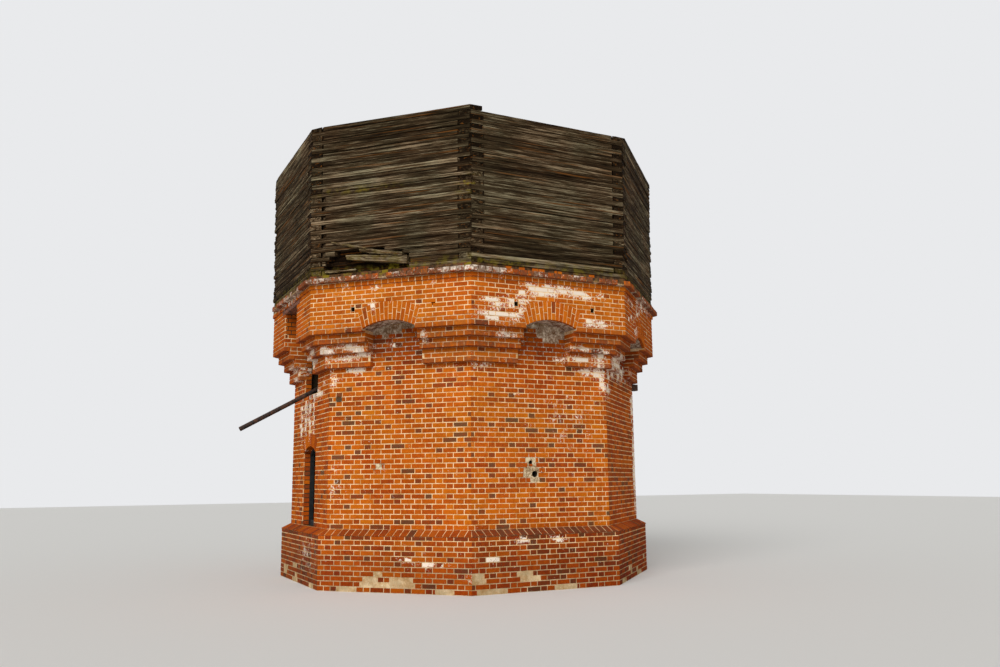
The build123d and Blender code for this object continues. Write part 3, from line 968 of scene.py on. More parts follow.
class Brickwork:
    """One piece of brickwork, laid brick by brick."""

    def __init__(self, side: Side, seed: int) -> None:
        """Starts an empty piece.

        Args:
            side: The face that the bricks are on.
            seed: Seed of the piece's random draws.
        """
        self.side = side
        self.draw = random.Random(seed)
        self.mesh = bmesh.new()
        self.tone = self.mesh.verts.layers.float.new("tone")
        self.bloom = self.mesh.verts.layers.float.new("bloom")
        self.dirt_layer = self.mesh.verts.layers.float.new("dirt")
        self.dark_share = 0.10
        self.dirt = 0.0
        # each face's shift: partly browner brick, partly painted shade on faces that get less light
        self.shift = FACE_TONE_AND_SHADE.get(side, 0.0)

    def set_wear(self, dark_share: float, dirt: float, shift: float) -> None:
        """Sets the share of burnt bricks, the dirt and the shift of the tones for what is laid next."""
        self.dark_share, self.dirt, self.shift = dark_share, dirt, shift

    def on_face(self, along: float, apothem: float, level: float = 0.0) -> Matrix:
        """Frame of a place on the fronts of the bricks that lie on a wall of this apothem."""
        return self.side.local() @ Matrix.Translation((along, -(apothem + PROUD), level))

    def pick_tone(self, header: bool) -> float:
        """Draws a brick's tone, from 0 for orange to 1 for burnt.

        Args:
            header: Whether it is a header, which is burnt more often.

        Returns:
            The tone.
        """
        share = self.dark_share * (2.6 if header else 1.0)
        if self.draw.random() < share:
            return self.draw.uniform(0.52, 0.95)
        return self.draw.uniform(0.0, 0.40) + self.draw.uniform(0.0, 0.16) + self.shift

    def colour(self, verts: Sequence[bmesh.types.BMVert], header: bool) -> None:
        """Gives a brick its tone, its share of the lime bloom and its dirt.

        Args:
            verts: The brick's vertices.
            header: Whether it is a header.
        """
        tone = self.pick_tone(header)
        middle = sum((vert.co for vert in verts), Vector()) / len(verts)
        local = self.side.local().inverted()
        lift = self.draw.uniform(-0.3, 0.3)
        dirt = self.dirt * self.draw.uniform(0.6, 1.0)
        for vert in verts:
            at = local @ vert.co.lerp(middle, 0.3)
            vert[self.tone] = tone
            vert[self.bloom] = bloom_at(self.side, at.x, at.z) * (1.0 + lift) + 0.3 * lift
            vert[self.dirt_layer] = dirt

    def brick(self, run: Run, start: float, end: float, header: bool, leans: Span = (0.0, 0.0)) -> None:
        """Lays one brick of a run.

        Args:
            run: The run that it belongs to.
            start: Its start along the run.
            end: Its end.
            header: Whether it is a header.
            leans: How far each end leans over its height, where it is cut to an arch.
        """
        verts = bmesh.ops.create_cube(self.mesh, size=1.0)["verts"]
        shell = run.shape is Shape.SHELL
        out = self.draw.uniform(-run.wander, run.wander)
        lift = self.draw.uniform(-UNEVEN, UNEVEN)
        for vert in verts:
            left, front, lower = vert.co.x < 0, vert.co.y < 0, vert.co.z < 0
            cut = self.draw.uniform(*SHELL_SLOPE) if shell and front else 0.0
            x = start + cut if left else end - cut
            x += (leans[0] if left else leans[1]) * (-0.5 if lower else 0.5)
            if run.mitred and left and start == 0.0:
                x = 0.0 if front else run.depth * HALF_TURN_TAN
            if run.mitred and not left and end == run.length:
                x = run.length - (0.0 if front else run.depth * HALF_TURN_TAN)
            y = out + self.draw.uniform(-UNEVEN, UNEVEN) if front else max(run.depth, out + SHALLOWEST)
            z = (run.low + cut if lower else run.high - cut) + lift
            vert.co = Vector((x, y, z))
        if not shell:
            edges = [e for v in verts if v.co.y < run.depth / 2 for e in v.link_edges
                     if e.other_vert(v).co.y < run.depth / 2 and self.worn(run, e)]
            verts = self.wear(verts, edges, self.draw.uniform(*WORN_EDGE))
        bmesh.ops.transform(self.mesh, matrix=run.place, verts=verts)
        self.colour(verts, header)

    def worn(self, run: Run, edge: bmesh.types.BMEdge) -> bool:
        """Tells an edge that wears from one that lies on a mitre.

        Args:
            run: The run that the brick belongs to.
            edge: One of the brick's front edges.

        Returns:
            True where the edge wears.
        """
        if not run.mitred:
            return True
        return not any(all(abs(v.co.x - end) < 1e-6 for v in edge.verts) for end in (0.0, run.length))

    def wear(self, verts: Sequence[bmesh.types.BMVert], edges: Sequence[bmesh.types.BMEdge],
             offset: float) -> list[bmesh.types.BMVert]:
        """Takes the sharpness off a brick's edges.

        Args:
            verts: The brick's vertices.
            edges: The edges that are worn, where one may be named twice.
            offset: How far they are worn back.

        Returns:
            The brick's vertices after that.
        """
        worn = bmesh.ops.bevel(self.mesh, geom=list(dict.fromkeys(edges)), offset=offset, offset_type="OFFSET",
                               segments=1, profile=0.5, affect="EDGES", material=-1)
        kept = [vert for vert in verts if vert.is_valid]
        return list(dict.fromkeys(kept + list(worn["verts"])))

    def lay(self, run: Run) -> None:
        """Lays a run of bricks.

        Args:
            run: The run.
        """
        for start, end, header, leans in run.laid():
            if run.missing and self.draw.random() < run.missing:
                continue
            self.brick(run, start, end, header, leans)

    def lay_face(self, apothem: float, low: float, high: float, turn: int,
                 openings: Sequence[Gap | Arch] = (), **options: object) -> None:
        """Lays one course of a face, from corner to corner.

        Args:
            apothem: Distance from the axis to the mortar bed.
            low: Underside of the bricks.
            high: Top of the bricks.
            turn: 0 or 1, which brick stands at the corners.
            openings: What the course leaves open.
            **options: Other fields of the run.
        """
        half = half_side(apothem + PROUD)
        spans = filter(None, (opening.span(low, high) for opening in openings))
        cuts = tuple((left + half, right + half, lean) for left, right, lean in spans)
        self.lay(Run(self.on_face(-half, apothem), 2 * half, low, high, turn=turn, mitred=True, open_spans=cuts,
                     **options))

    def lay_stepped_face(self, apothem: float, low: float, high: float, turn: int,
                         openings: Sequence[Gap | Arch]) -> None:
        """Lays the lowest course of a step that stands out, of blocks because its underside shows.

        Args:
            apothem: Distance from the axis to the mortar bed.
            low: Underside that the bricks of this course would have inside a wall.
            high: Top of the bricks.
            turn: 0 or 1, which brick stands at the corners.
            openings: What the course leaves open.
        """
        self.lay_face(apothem, low - HALF_JOINT - JAMB_PROUD, high, turn, openings, shape=Shape.BLOCK,
                      depth=CORBEL_STEP + PROUD)

    def lay_jambs(self, half: float, outer: float, inner: float, low: float, high: float, turn: int) -> None:
        """Lays one course of both jambs of an opening.

        Args:
            half: Half the width of the opening.
            outer: Distance from the axis to the front of the jamb.
            inner: Distance from the axis to its back.
            low: Underside of the bricks.
            high: Top of the bricks.
            turn: 0 or 1, which brick stands at the front.
        """
        front, back = -(outer + PROUD) + JAMB_SETBACK, -inner
        bond = Bond.FLEMISH if back - front > DEEP_JAMB else Bond.SINGLE
        for sign, start in ((1, back), (-1, front)):
            place = (self.side.local() @ Matrix.Translation((sign * (half - JAMB_PROUD), start, 0.0))
                     @ Matrix.Rotation(-sign * math.pi / 2, 4, "Z"))
            self.lay(Run(place, back - front, low, high, bond=bond, turn=turn, depth=JAMB_DEPTH))

    def lay_arch(self, arch: Arch, apothem: float, depth: float) -> None:
        """Lays the ring of an arch, each brick on edge and cut to a wedge.

        Args:
            arch: The arch.
            apothem: Distance from the axis to the mortar bed.
            depth: Depth of the bricks.
        """
        step = 2 * arch.reach / arch.bricks
        face = self.on_face(0.0, apothem, arch.centre)
        for number in range(arch.bricks):
            angle = -arch.reach + (number + 0.5) * step
            cut = arch.ring * RING_CUTS[number % 2] + self.draw.uniform(-0.012, 0.012)
            two_bricks = ((-JAMB_PROUD, cut), (cut, arch.ring))
            spans = two_bricks if arch.ring > TALL_RING else ((-JAMB_PROUD, arch.ring),)
            for low, high in spans:
                self.wedge(arch, face, (angle - step / 2, angle + step / 2),
                           (low + HALF_JOINT * (low > 0.0), high - HALF_JOINT), depth)

    def wedge(self, arch: Arch, place: Matrix, angles: Span, span: Span, depth: float) -> None:
        """Lays one wedge of an arch.

        Args:
            arch: The arch.
            place: Frame of its face, at the arc's centre.
            angles: Angles of its two sides, with the joints.
            span: How far its ends stand from the soffit.
            depth: Depth of the brick.
        """
        verts = bmesh.ops.create_cube(self.mesh, size=1.0)["verts"]
        out = self.draw.uniform(-0.0015, 0.0015)
        for vert in verts:
            angle = angles[vert.co.x > 0]
            inset = math.copysign(HALF_JOINT, -vert.co.x)
            x, z = arch.point(angle, span[vert.co.z > 0])
            vert.co = Vector((x + inset * math.cos(arch.fan * angle), out if vert.co.y < 0 else depth,
                              z - inset * math.sin(arch.fan * angle)))
        edges = [e for v in verts if v.co.y < depth / 2 for e in v.link_edges
                 if e.other_vert(v).co.y < depth / 2]
        verts = self.wear(verts, edges, self.draw.uniform(*WORN_EDGE))
        bmesh.ops.transform(self.mesh, matrix=place, verts=verts)
        self.colour(verts, False)

    def finish(self, name: str, material: bpy.types.Material, slot: str) -> bpy.types.Object:
        """Makes the piece's object, riding on the root."""
        return make_piece(self.mesh, name, material)


def mesh_from(work: Mesh, name: str) -> bpy.types.Mesh:
    """Turns a finished bmesh into a mesh.

    Args:
        work: The bmesh, which is freed.
        name: Name of the mesh.

    Returns:
        The mesh.
    """
    data = bpy.data.meshes.new(name)
    work.to_mesh(data)
    work.free()
    return data


def add_object(name: str, data: bpy.types.ID) -> bpy.types.Object:
    """Puts an object into the scene.

    Args:
        name: Name of the object.
        data: Its mesh, camera or light.

    Returns:
        The object.
    """
    made = bpy.data.objects.new(name, data)
    bpy.context.scene.collection.objects.link(made)
    return made


def make_piece(mesh: Mesh, name: str, material: bpy.types.Material,
               stands_for: Sequence[str] = ()) -> bpy.types.Object:
    """Turns a mesh into a piece of the tower.

    Args:
        mesh: The finished mesh, which is freed.
        name: Name of the piece.
        material: Its material.
        stands_for: Nodes that it replaces.

    Returns:
        The piece.
    """
    data = mesh_from(mesh, name)
    data.materials.append(material)
    piece = add_object(name, data)
    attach(piece, "root")
    if stands_for:
        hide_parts(*stands_for)
    log.info("%s: %d faces", name, len(data.polygons))
    return piece


WINDOW_ARCH = Arch(width=0.8, rise=0.114, ring=0.226, spring=SPRING_LEVEL, foot=PLINTH_TOP, bricks=11)
DOOR_ARCH = Arch(width=0.9, rise=0.114, ring=0.226, spring=SPRING_LEVEL, foot=0.0, bricks=13)
NICHE_ARCH = Arch(width=0.9, rise=0.114, ring=0.3, spring=BAND_BOTTOM + 0.042, foot=BAND_BOTTOM, bricks=14,
                  fan=0.58)
NICHE_MORTAR = {Side.SOUTH: Patch(0.20, 4.04, 0.28, 0.20), Side.SOUTHWEST: Patch(-0.22, 4.08, 0.30, 0.14)}
PUTLOGS = (-0.62, 0.76)
PUTLOG_LEVEL = BAND_BOTTOM + 0.36
PUTLOG_HALF = 0.035
PUTLOG_CUT = 0.036  # ends of the cut bricks, under and over its middle
LOST_LEDGE = 0.34
LOST_BEDDING = ((-2.0, -0.83), (-0.70, -0.60), (-0.47, -0.36), (-0.12, 0.06), (0.20, 0.70), (0.84, 2.0))
SHAFT_HOLES: dict[Side, tuple[Gap, ...]] = {
    Side.EAST: (Gap(-1.135, -1.005, 3.335, 3.463),),
    Side.SOUTH: (Gap(-0.21, -0.075, 1.63, 1.69), Gap(-0.335, -0.07, 1.70, 1.775), Gap(-0.325, -0.07, 1.775, 1.85),
                 Gap(-0.262, -0.108, 1.86, 1.925), Gap(-0.255, -0.115, 1.93, 2.0)),
    Side.SOUTHWEST: (Gap(-0.375, -0.275, 1.86, 1.92), Gap(-1.105, -0.995, 2.94, 2.99)),
}


def upper_gap(bottom: float) -> Gap:
    """The upper opening of the west or the east face, from a level up to its lintel."""
    return Gap(JAMB_PROUD - UPPER_HALF, UPPER_HALF - JAMB_PROUD, bottom, HEAD_LEVEL)


@dataclass
class Plinth:
    """Plinth walls of one face with their sloping coping."""

    side: Side
    courses: int = 11
    lip: float = 3.101
    lip_level: float = 0.842
    lip_joint: float = 0.012
    coping_depth: float = 0.009
    coping_wear: float = 0.005
    doorway_half: float = 0.5

    def build(self, material: bpy.types.Material) -> None:
        """Lays the courses and the coping.

        Args:
            material: The bricks' material.
        """
        work = Brickwork(self.side, self.side.value + 1)
        work.shift += 0.1 if self.side is Side.SOUTH else 0.0
        work.dirt = 0.5 if self.side is Side.WEST else 0.0
        doorway = [DOOR_ARCH] if self.side is Side.EAST else []
        for course in range(self.courses):
            low, high = course_levels(0.0, course, COURSE)
            high = min(high, self.lip_level - self.lip_joint)
            work.dark_share = 0.15 if course < self.courses - 1 else 0.4
            work.lay_face(PLINTH_APOTHEM, low, high, course % 2, doorway + self.bare_spots(course))
            if doorway:
                work.lay_jambs(DOOR_ARCH.width / 2, PLINTH_APOTHEM, SHAFT_APOTHEM - REVEAL, low, high, course % 2)
        if self.side is Side.SOUTH:
            work.set_wear(dark_share=0.1, dirt=0.7, shift=0.36)
        else:
            work.set_wear(dark_share=0.1, dirt=0.2, shift=0.04)
        self.lay_coping(work)
        work.finish(f"{self.side.label}_plinth_bricks", material, "plinth_brick")

    def bare_spots(self, course: int) -> list[Gap]:
        """Where bricks near the ground have come away and bare mortar shows.

        Args:
            course: Number of the course.

        Returns:
            What it leaves open.
        """
        if self.side in BARE_SPOTS:
            return list(BARE_SPOTS[self.side])
        draw = random.Random(100 * self.side.value + course)
        low = course * COURSE
        spots = []
        for _ in range({0: 3, 1: 2, 2: 1, 3: 1}.get(course, 0)):
            start = draw.uniform(-1.1, 0.9)
            spots.append(Gap(start, start + draw.uniform(0.1, 0.4), low, low + COURSE))
        return spots

    def lay_coping(self, work: Brickwork) -> None:
        """Lays the sloping headers on top.

        Args:
            work: The plinth's brickwork.
        """
        fall = PLINTH_TOP - self.lip_level
        run_in = self.lip - SHAFT_APOTHEM
        half = half_side(self.lip)
        count = round(2 * half / HEADER)
        step = 2 * half / count
        slope = Matrix.Rotation(math.atan2(fall, run_in), 4, "X")
        tilt = self.side.local() @ Matrix.Translation((0.0, -self.lip, self.lip_level)) @ slope
        for number in range(count):
            middle = -half + (number + 0.5) * step
            if self.side is Side.EAST and abs(middle) < self.doorway_half:
                continue
            self.coping_brick(work, tilt, middle, step, math.hypot(fall, run_in))

    def coping_brick(self, work: Brickwork, tilt: Matrix, middle: float, step: float, length: float) -> None:
        """Lays one brick of the coping, cut narrower towards a corner where it has to be.

        Args:
            work: The plinth's brickwork.
            tilt: Frame of the slope.
            middle: Middle of the brick along the face.
            step: Its width with the joint.
            length: Length of the slope.
        """
        verts = bmesh.ops.create_cube(work.mesh, size=1.0)["verts"]
        half = step / 2 - HALF_JOINT
        corner = half_side(self.lip)
        squeeze = half_side(SHAFT_APOTHEM) / corner
        lift = work.draw.uniform(0.004, 0.008)
        out = work.draw.uniform(0.003, 0.007)
        for vert in verts:
            left, front, lower = vert.co.x < 0, vert.co.y < 0, vert.co.z < 0
            x = middle + (-half if left else half)
            limit = corner * (1.0 if front else squeeze) + 0.002
            x = max(-limit, min(limit, x))
            vert.co = Vector((x, -out if front else length - 0.004, -self.coping_depth if lower else lift))
        back = [v for v in verts if v.co.y > 0]
        if max(v.co.x for v in back) - min(v.co.x for v in back) < 0.004:
            for vert in back:
                vert.co.y = length * 0.5
                vert.co.x = middle + (-0.01 if vert.co.x < middle else 0.01)
        edges = [e for v in verts if v.co.z > 0 for e in v.link_edges if e.other_vert(v).co.z > 0]
        verts = work.wear(verts, edges, self.coping_wear)
        bmesh.ops.transform(work.mesh, matrix=tilt, verts=verts)
        work.colour(verts, False)


@dataclass
class Shaft:
    """Shaft walls of one face, from the coping to the corbels."""

    side: Side
    courses: int = 33
    niche_courses: int = 8
    loose_brick: tuple[float, float, float, float] = (-0.24, 0.075, 1.862, 1.903)  # start, length and levels

    @property
    def arch(self) -> Optional[Arch]:
        """Arch of the window or the doorway, on the two faces that have one."""
        return {Side.WEST: WINDOW_ARCH, Side.EAST: DOOR_ARCH}.get(self.side)

    def openings(self) -> list[Gap | Arch]:
        """What the courses leave open.

        Returns:
            The window or the doorway with the upper opening, then the holes.
        """
        holes = list(SHAFT_HOLES.get(self.side, ()))
        return [self.arch, upper_gap(SILL_LEVEL), *holes] if self.arch else holes

    def build(self, material: bpy.types.Material) -> None:
        """Lays the courses, the jambs and the arch, or the back of the niche.

        Args:
            material: The bricks' material.
        """
        work = Brickwork(self.side, self.side.value + 2)
        openings, arch = self.openings(), self.arch
        for course in range(self.courses):
            low, high = course_levels(PLINTH_TOP, course, COURSE)
            work.lay_face(SHAFT_APOTHEM, low, high, (course + 1) % 2, openings)
            if arch and high < SPRING_LEVEL:
                work.lay_jambs(arch.width / 2, SHAFT_APOTHEM, SHAFT_APOTHEM - REVEAL, low, high, course % 2)
            if arch and low > SILL_LEVEL:
                work.lay_jambs(UPPER_HALF, SHAFT_APOTHEM, SHAFT_APOTHEM - REVEAL, low, high, course % 2)
        if self.side is Side.SOUTH:
            start, length, low, high = self.loose_brick
            work.dirt = 0.8
            work.lay(Run(work.on_face(start, SHAFT_APOTHEM), length, low, high, bond=Bond.SINGLE))
            work.dirt = 0.0
        if arch:
            work.lay_arch(arch, SHAFT_APOTHEM, REVEAL)
        else:
            for course in range(self.niche_courses):
                self.lay_niche_back(work, *course_levels(CORBEL_BOTTOM, course, CORNICE_COURSE), course % 2)
        work.finish(f"{self.side.label}_shaft_bricks", material, "shaft_brick")

    def lay_niche_back(self, work: Brickwork, low: float, high: float, turn: int) -> None:
        """Lays one course of the wall at the back of a niche, which rough mortar covers in one place.

        Args:
            work: The shaft's brickwork.
            low: Underside of the bricks.
            high: Top of the bricks.
            turn: 0 or 1, which brick comes first.
        """
        far = half_side(SHAFT_APOTHEM) + 1.0
        gaps = [Gap(-far, -UPPER_HALF, low, high), Gap(UPPER_HALF, far, low, high)]
        rough = NICHE_MORTAR.get(self.side, Patch(0.05 * (self.side.value % 4), 4.06, 0.28, 0.18))
        share = 1.0 - ((low + HALF_COURSE - rough.level) / rough.tall) ** 2
        if share > 0.0:
            reach = rough.wide * math.sqrt(share) * work.draw.uniform(0.85, 1.1)
            gaps.append(Gap(rough.along - reach, rough.along + reach, low, high))
        work.lay_face(SHAFT_APOTHEM, low, high, turn, gaps)


@dataclass
class Cornice:
    """Corbels, band, arch, header course, ledge and bedding course of one face."""

    side: Side
    steps: tuple[int, ...] = (3, 2, 2)
    band_courses: int = 10
    arch_depth: float = 0.05
    headers_out: float = 0.022  # how far the header course stands out over the band
    headers_depth: float = 0.04
    ledge_depth: float = 0.08
    bedding_depth: float = 0.02
    wander: float = 0.004  # how far these bricks lie in or out
    loose_wander: float = 0.012

    def build(self, material: bpy.types.Material) -> None:
        """Lays everything over the shaft.

        Args:
            material: The bricks' material.
        """
        work = Brickwork(self.side, self.side.value + 3)
        work.dark_share = 0.03
        self.lay_corbels(work)
        self.lay_band(work)
        if self.side.has_niche:
            work.lay_arch(NICHE_ARCH, BAND_APOTHEM, self.arch_depth)
        self.lay_ledge(work)
        work.finish(f"{self.side.label}_cornice_bricks", material, "cornice_brick")

    def lay_corbels(self, work: Brickwork) -> None:
        """Lays the stepped corbels beside the niche or the upper opening.

        Args:
            work: The cornice's brickwork.
        """
        opening = [upper_gap(CORBEL_BOTTOM)]
        back = SHAFT_APOTHEM if self.side.has_niche else SHAFT_APOTHEM - REVEAL
        course = 0
        for step, courses in enumerate(self.steps, start=1):
            apothem = SHAFT_APOTHEM + step * CORBEL_STEP
            for number in range(courses):
                low, high = course_levels(CORBEL_BOTTOM, course, CORNICE_COURSE)
                work.dirt = 0.55 if number == 0 else 0.1
                lay = work.lay_stepped_face if number == 0 else work.lay_face
                lay(apothem, low, high, course % 2, opening)
                work.lay_jambs(UPPER_HALF, apothem, back, low, high, course % 2)
                course += 1

    def lay_band(self, work: Brickwork) -> None:
        """Lays the band, round its arch and putlog holes or its upper opening.

        Args:
            work: The cornice's brickwork.
        """
        if self.side.has_niche:
            openings = [NICHE_ARCH] + [Gap(along - PUTLOG_HALF, along + PUTLOG_HALF, PUTLOG_LEVEL - PUTLOG_HALF,
                                           PUTLOG_LEVEL + PUTLOG_HALF) for along in self.putlogs()]
            self.close_round_putlogs(work)
        else:
            openings = [upper_gap(BAND_BOTTOM), Gap(-LINTEL_HALF, LINTEL_HALF, HEAD_LEVEL, LINTEL_TOP)]
        for course in range(self.band_courses):
            low, high = course_levels(BAND_BOTTOM, course, CORNICE_COURSE)
            work.dirt = 0.4 if course == 0 else 0.0
            lay = work.lay_stepped_face if course == 0 else work.lay_face
            lay(BAND_APOTHEM, low, high, (course + 1) % 2, openings)
            if not self.side.has_niche and high < HEAD_LEVEL:
                work.lay_jambs(UPPER_HALF, BAND_APOTHEM, SHAFT_APOTHEM - REVEAL, low, high, course % 2)

    def putlogs(self) -> Sequence[float]:
        """Middles of the scaffold holes that are still open."""
        return PUTLOGS[:1] if self.side is Side.SOUTHWEST else PUTLOGS

    def close_round_putlogs(self, work: Brickwork) -> None:
        """Lays the cut bricks under and over the scaffold holes.

        Args:
            work: The cornice's brickwork.
        """
        bottom = BAND_BOTTOM + 4 * CORNICE_COURSE + HALF_JOINT
        top = BAND_BOTTOM + 6 * CORNICE_COURSE - HALF_JOINT
        for along in self.putlogs():
            place = work.on_face(along - PUTLOG_HALF, BAND_APOTHEM)
            for low, high in ((bottom, PUTLOG_LEVEL - PUTLOG_CUT), (PUTLOG_LEVEL + PUTLOG_CUT, top)):
                work.lay(Run(place, 2 * PUTLOG_HALF, low, high, bond=Bond.SINGLE))

    def lay_ledge(self, work: Brickwork) -> None:
        """Lays the header course, the ledge and the loose course that beds the timber.

        Args:
            work: The cornice's brickwork.
        """
        low = BAND_BOTTOM + self.band_courses * CORNICE_COURSE
        top = low + CORNICE_COURSE
        blocks = {"bond": Bond.HEADERS, "shape": Shape.BLOCK}
        work.lay_face(BAND_APOTHEM + self.headers_out, low - 0.002, top - 0.008, 0, depth=self.headers_depth,
                      wander=self.wander, **blocks)
        work.set_wear(dark_share=0.25, dirt=0.95, shift=0.2)
        corner = half_side(LEDGE_APOTHEM) - LOST_LEDGE
        fallen = {Side.WEST: [Gap(-2.0, -corner, top, MASONRY_TOP)],
                  Side.NORTHWEST: [Gap(corner, 2.0, top, MASONRY_TOP)]}
        work.lay_face(LEDGE_APOTHEM, top - 0.003, top + CORNICE_COURSE + 0.002, 0, fallen.get(self.side, []),
                      depth=self.ledge_depth, wander=self.wander, missing=0.1, **blocks)
        bedding = top + CORNICE_COURSE + 0.006
        if self.side is Side.SOUTH:
            work.set_wear(dark_share=0.0, dirt=0.1, shift=0.0)
            lost = [Gap(left, right, top, MASONRY_TOP) for left, right in LOST_BEDDING]
            work.lay_face(BEDDING_APOTHEM, bedding, MASONRY_TOP - 0.004, 0, lost, depth=self.bedding_depth,
                          wander=self.wander, **blocks)
        else:
            work.set_wear(dark_share=0.3, dirt=1.7, shift=0.2)
            work.lay_face(BEDDING_APOTHEM, bedding, MASONRY_TOP - 0.004, 0, depth=self.bedding_depth,
                          wander=self.loose_wander, missing=0.25, **blocks)


# Timber of the crib and the deck


@dataclass(frozen=True)
class Timber:
    """A broken timber that hangs in the rotted hollow, in the frame of its face."""

    start: Triple
    end: Triple
    height: float
    width: float
    taper: float = 1.0  # height of its far end, as a share of the near one


BROKEN_TIMBERS = (
    Timber((-0.99, -3.385, 5.445), (-0.38, -3.375, 5.300), 0.018, 0.05, 1.6),
    Timber((-0.50, -3.330, 5.285), (0.27, -3.395, 5.135), 0.050, 0.09, 1.0),
    Timber((-0.75, -3.290, 5.190), (0.35, -3.360, 5.055), 0.075, 0.12, 1.7),
    Timber((-1.12, -3.320, 4.985), (-0.55, -3.345, 4.960), 0.045, 0.09, 0.5),
)


def bend(timber: Mesh, strips: int, cuts: int) -> None:
    """Starts a timber as a bar of many pieces, so that it can wander.

    Args:
        timber: The mesh that it is made in.
        strips: Cuts over its height.
        cuts: Cuts along its length.
    """
    bmesh.ops.create_cube(timber, size=1.0)
    for axis, number in ((2, strips), (0, cuts)):
        edges = [e for e in timber.edges if abs(e.verts[0].co[axis] - e.verts[1].co[axis]) > 0.5]
        bmesh.ops.subdivide_edges(timber, edges=edges, cuts=number, use_grid_fill=True)


@dataclass
class CribWall:
    """Planks of one face of the crib, laid flat with their long ends taking turns."""

    side: Side
    layers: int = 33
    pieces_along: int = 16
    pieces_along_rot: int = 44
    strips: int = 2
    end_back: float = 0.006  # how far a long end stays behind the next wall's face
    short_gap: float = 0.005
    broken_share: float = 0.22  # planks whose top edge has split off
    light_layers: int = 17  # of the west wall, from the bottom, whose ends are lighter
    notched_layers: range = range(4, 17)  # of the southwest wall, whose left ends are worn
    groove: float = 0.004  # how far the lower and upper edges stand back
    at_edge: float = 0.01  # share of the height that counts as an edge
    splinter: float = 0.016  # how far a broken timber strays from its line

    def limits(self, layer: int, draw: random.Random) -> Span:
        """How far both ends reach, measured square to the next walls' faces.

        Args:
            layer: Number of the layer from the bottom.
            draw: The wall's random draws.

        Returns:
            Reach of the left and of the right end.
        """
        reach = CRIB_APOTHEM + layer * LAYER_OUTSET
        worn = draw.uniform(0.0, 0.010) if draw.random() < 0.8 else draw.uniform(0.012, 0.028)
        long = reach - self.end_back - worn
        short = reach - PLANK_WIDTH - self.short_gap - draw.uniform(0.0, 0.008)
        return (long, short) if layer % 2 else (short, long)

    def rot(self, layer: int, along: float) -> float:
        """How deep the timber has rotted away, in metres.

        Args:
            layer: Number of the layer from the bottom.
            along: Place along the face.

        Returns:
            The depth there.
        """
        if self.side is not Side.SOUTHWEST or layer >= len(ROTTED):
            return 0.0
        left, right = ROTTED[layer]
        ragged = noise.noise(Vector((along * 9.0, layer * 3.7, 0.0)))
        inside = min(along - left, right - along) + 0.03 * ragged
        return ROT_DEPTH * max(0.0, min(1.0, inside / 0.05)) * (1.0 + 0.12 * ragged)

    def plank(self, layer: int, draw: random.Random) -> bpy.types.Mesh:
        """Makes one plank in the face's frame.

        Args:
            layer: Number of its layer from the bottom.
            draw: The wall's random draws.

        Returns:
            The plank's mesh, with its grain, tone and moss.
        """
        work = bmesh.new()
        rotted = self.side is Side.SOUTHWEST and layer < len(ROTTED)
        bend(work, self.strips, self.pieces_along_rot if rotted else self.pieces_along)
        grain, tone, moss = self.wood_layers(work)
        left, right = self.limits(layer, draw)
        reach = CRIB_APOTHEM + layer * LAYER_OUTSET
        set_back = draw.uniform(0.0, 0.013)
        skew = draw.uniform(-0.006, 0.006)
        shade = draw.gauss(-0.022 if self.side is Side.WEST else -0.01, 0.026)
        shift = draw.uniform(0.0, 90.0)
        split = draw.random() < self.broken_share
        low_gap = draw.uniform(0.001, 0.004)
        high_gap = draw.uniform(0.006, 0.013) if split else draw.uniform(0.001, 0.004)
        ridges = [draw.uniform(-0.005, 0.004) for _ in range(self.strips + 2)]
        notched = self.side is Side.SOUTHWEST and layer % 2 == 0 and layer in self.notched_layers
        notch = draw.uniform(0.04, 0.065) if notched else 0.0
        base = MASONRY_TOP + layer * PLANK_HEIGHT
        for vert in work.verts:
            part, rise, front = vert.co.x + 0.5, vert.co.z + 0.5, vert.co.y < 0
            away = reach if front else reach - PLANK_WIDTH
            low_end = -(left - (notch if front else 0.0) - away * COS_TURN) / COS_TURN
            high_end = (right - away * COS_TURN) / COS_TURN
            x = low_end + part * (high_end - low_end)
            wander = 0.004 * noise.noise(Vector((x * 1.1, (layer + (0.0 if front else rise)) * 0.45, 0.0)))
            ragged = noise.noise(Vector((x * 5.0, layer * 9.3, rise * 4.0)))
            y = -away
            if front:
                y += set_back + skew * (part - 0.5) * 2 + ridges[round(rise * (self.strips + 1))] + 0.004 * ragged
                y += self.groove if rise < self.at_edge or rise > 1.0 - self.at_edge else 0.0
                y += self.rot(layer, x)
            z = base + rise * PLANK_HEIGHT + wander
            if front and rise < self.at_edge:
                z += low_gap + max(0.0, 0.006 * ragged)
            if front and rise > 1.0 - self.at_edge:
                z -= high_gap + max(0.0, -0.007 * ragged)
            vert.co = Vector((x, max(y, -reach - 0.006), z))
            vert[grain] = Vector((x + shift, y * 0.6 + shift * 0.37, z + 0.7 * shift))
        bmesh.ops.recalc_face_normals(work, faces=work.faces)
        end_tones = (self.end_tone(layer, draw), self.end_tone(layer, draw))
        for face in work.faces:
            at_end = abs(face.normal.x) > 0.55
            for loop in face.loops:
                at = loop.vert.co
                # the rotted hollow gets darker with its depth: partly the colour of rotten wood, partly painted
                # shade in the hollow
                loop[tone] = shade + (end_tones[at.x > 0] if at_end else 0.0) - 1.4 * self.rot(layer, at.x)
                loop[moss] = self.moss(at.x, at.z)
        return mesh_from(work, "plank")

    def wood_layers(self, work: Mesh) -> tuple[bmesh.types.BMLayerItem, ...]:
        """Adds the layers that the timber's finish reads.

        Args:
            work: The timber's mesh.

        Returns:
            The layers of grain, tone and moss.
        """
        loops = work.loops.layers.float
        return (work.verts.layers.float_vector.new("grain"), loops.new("tone"), loops.new("moss"))

    def end_tone(self, layer: int, draw: random.Random) -> float:
        """How much lighter or darker an end is than its plank."""
        light = self.side is Side.WEST and layer < self.light_layers
        return draw.uniform(-0.01, 0.05) if light else draw.uniform(-0.13, -0.02)

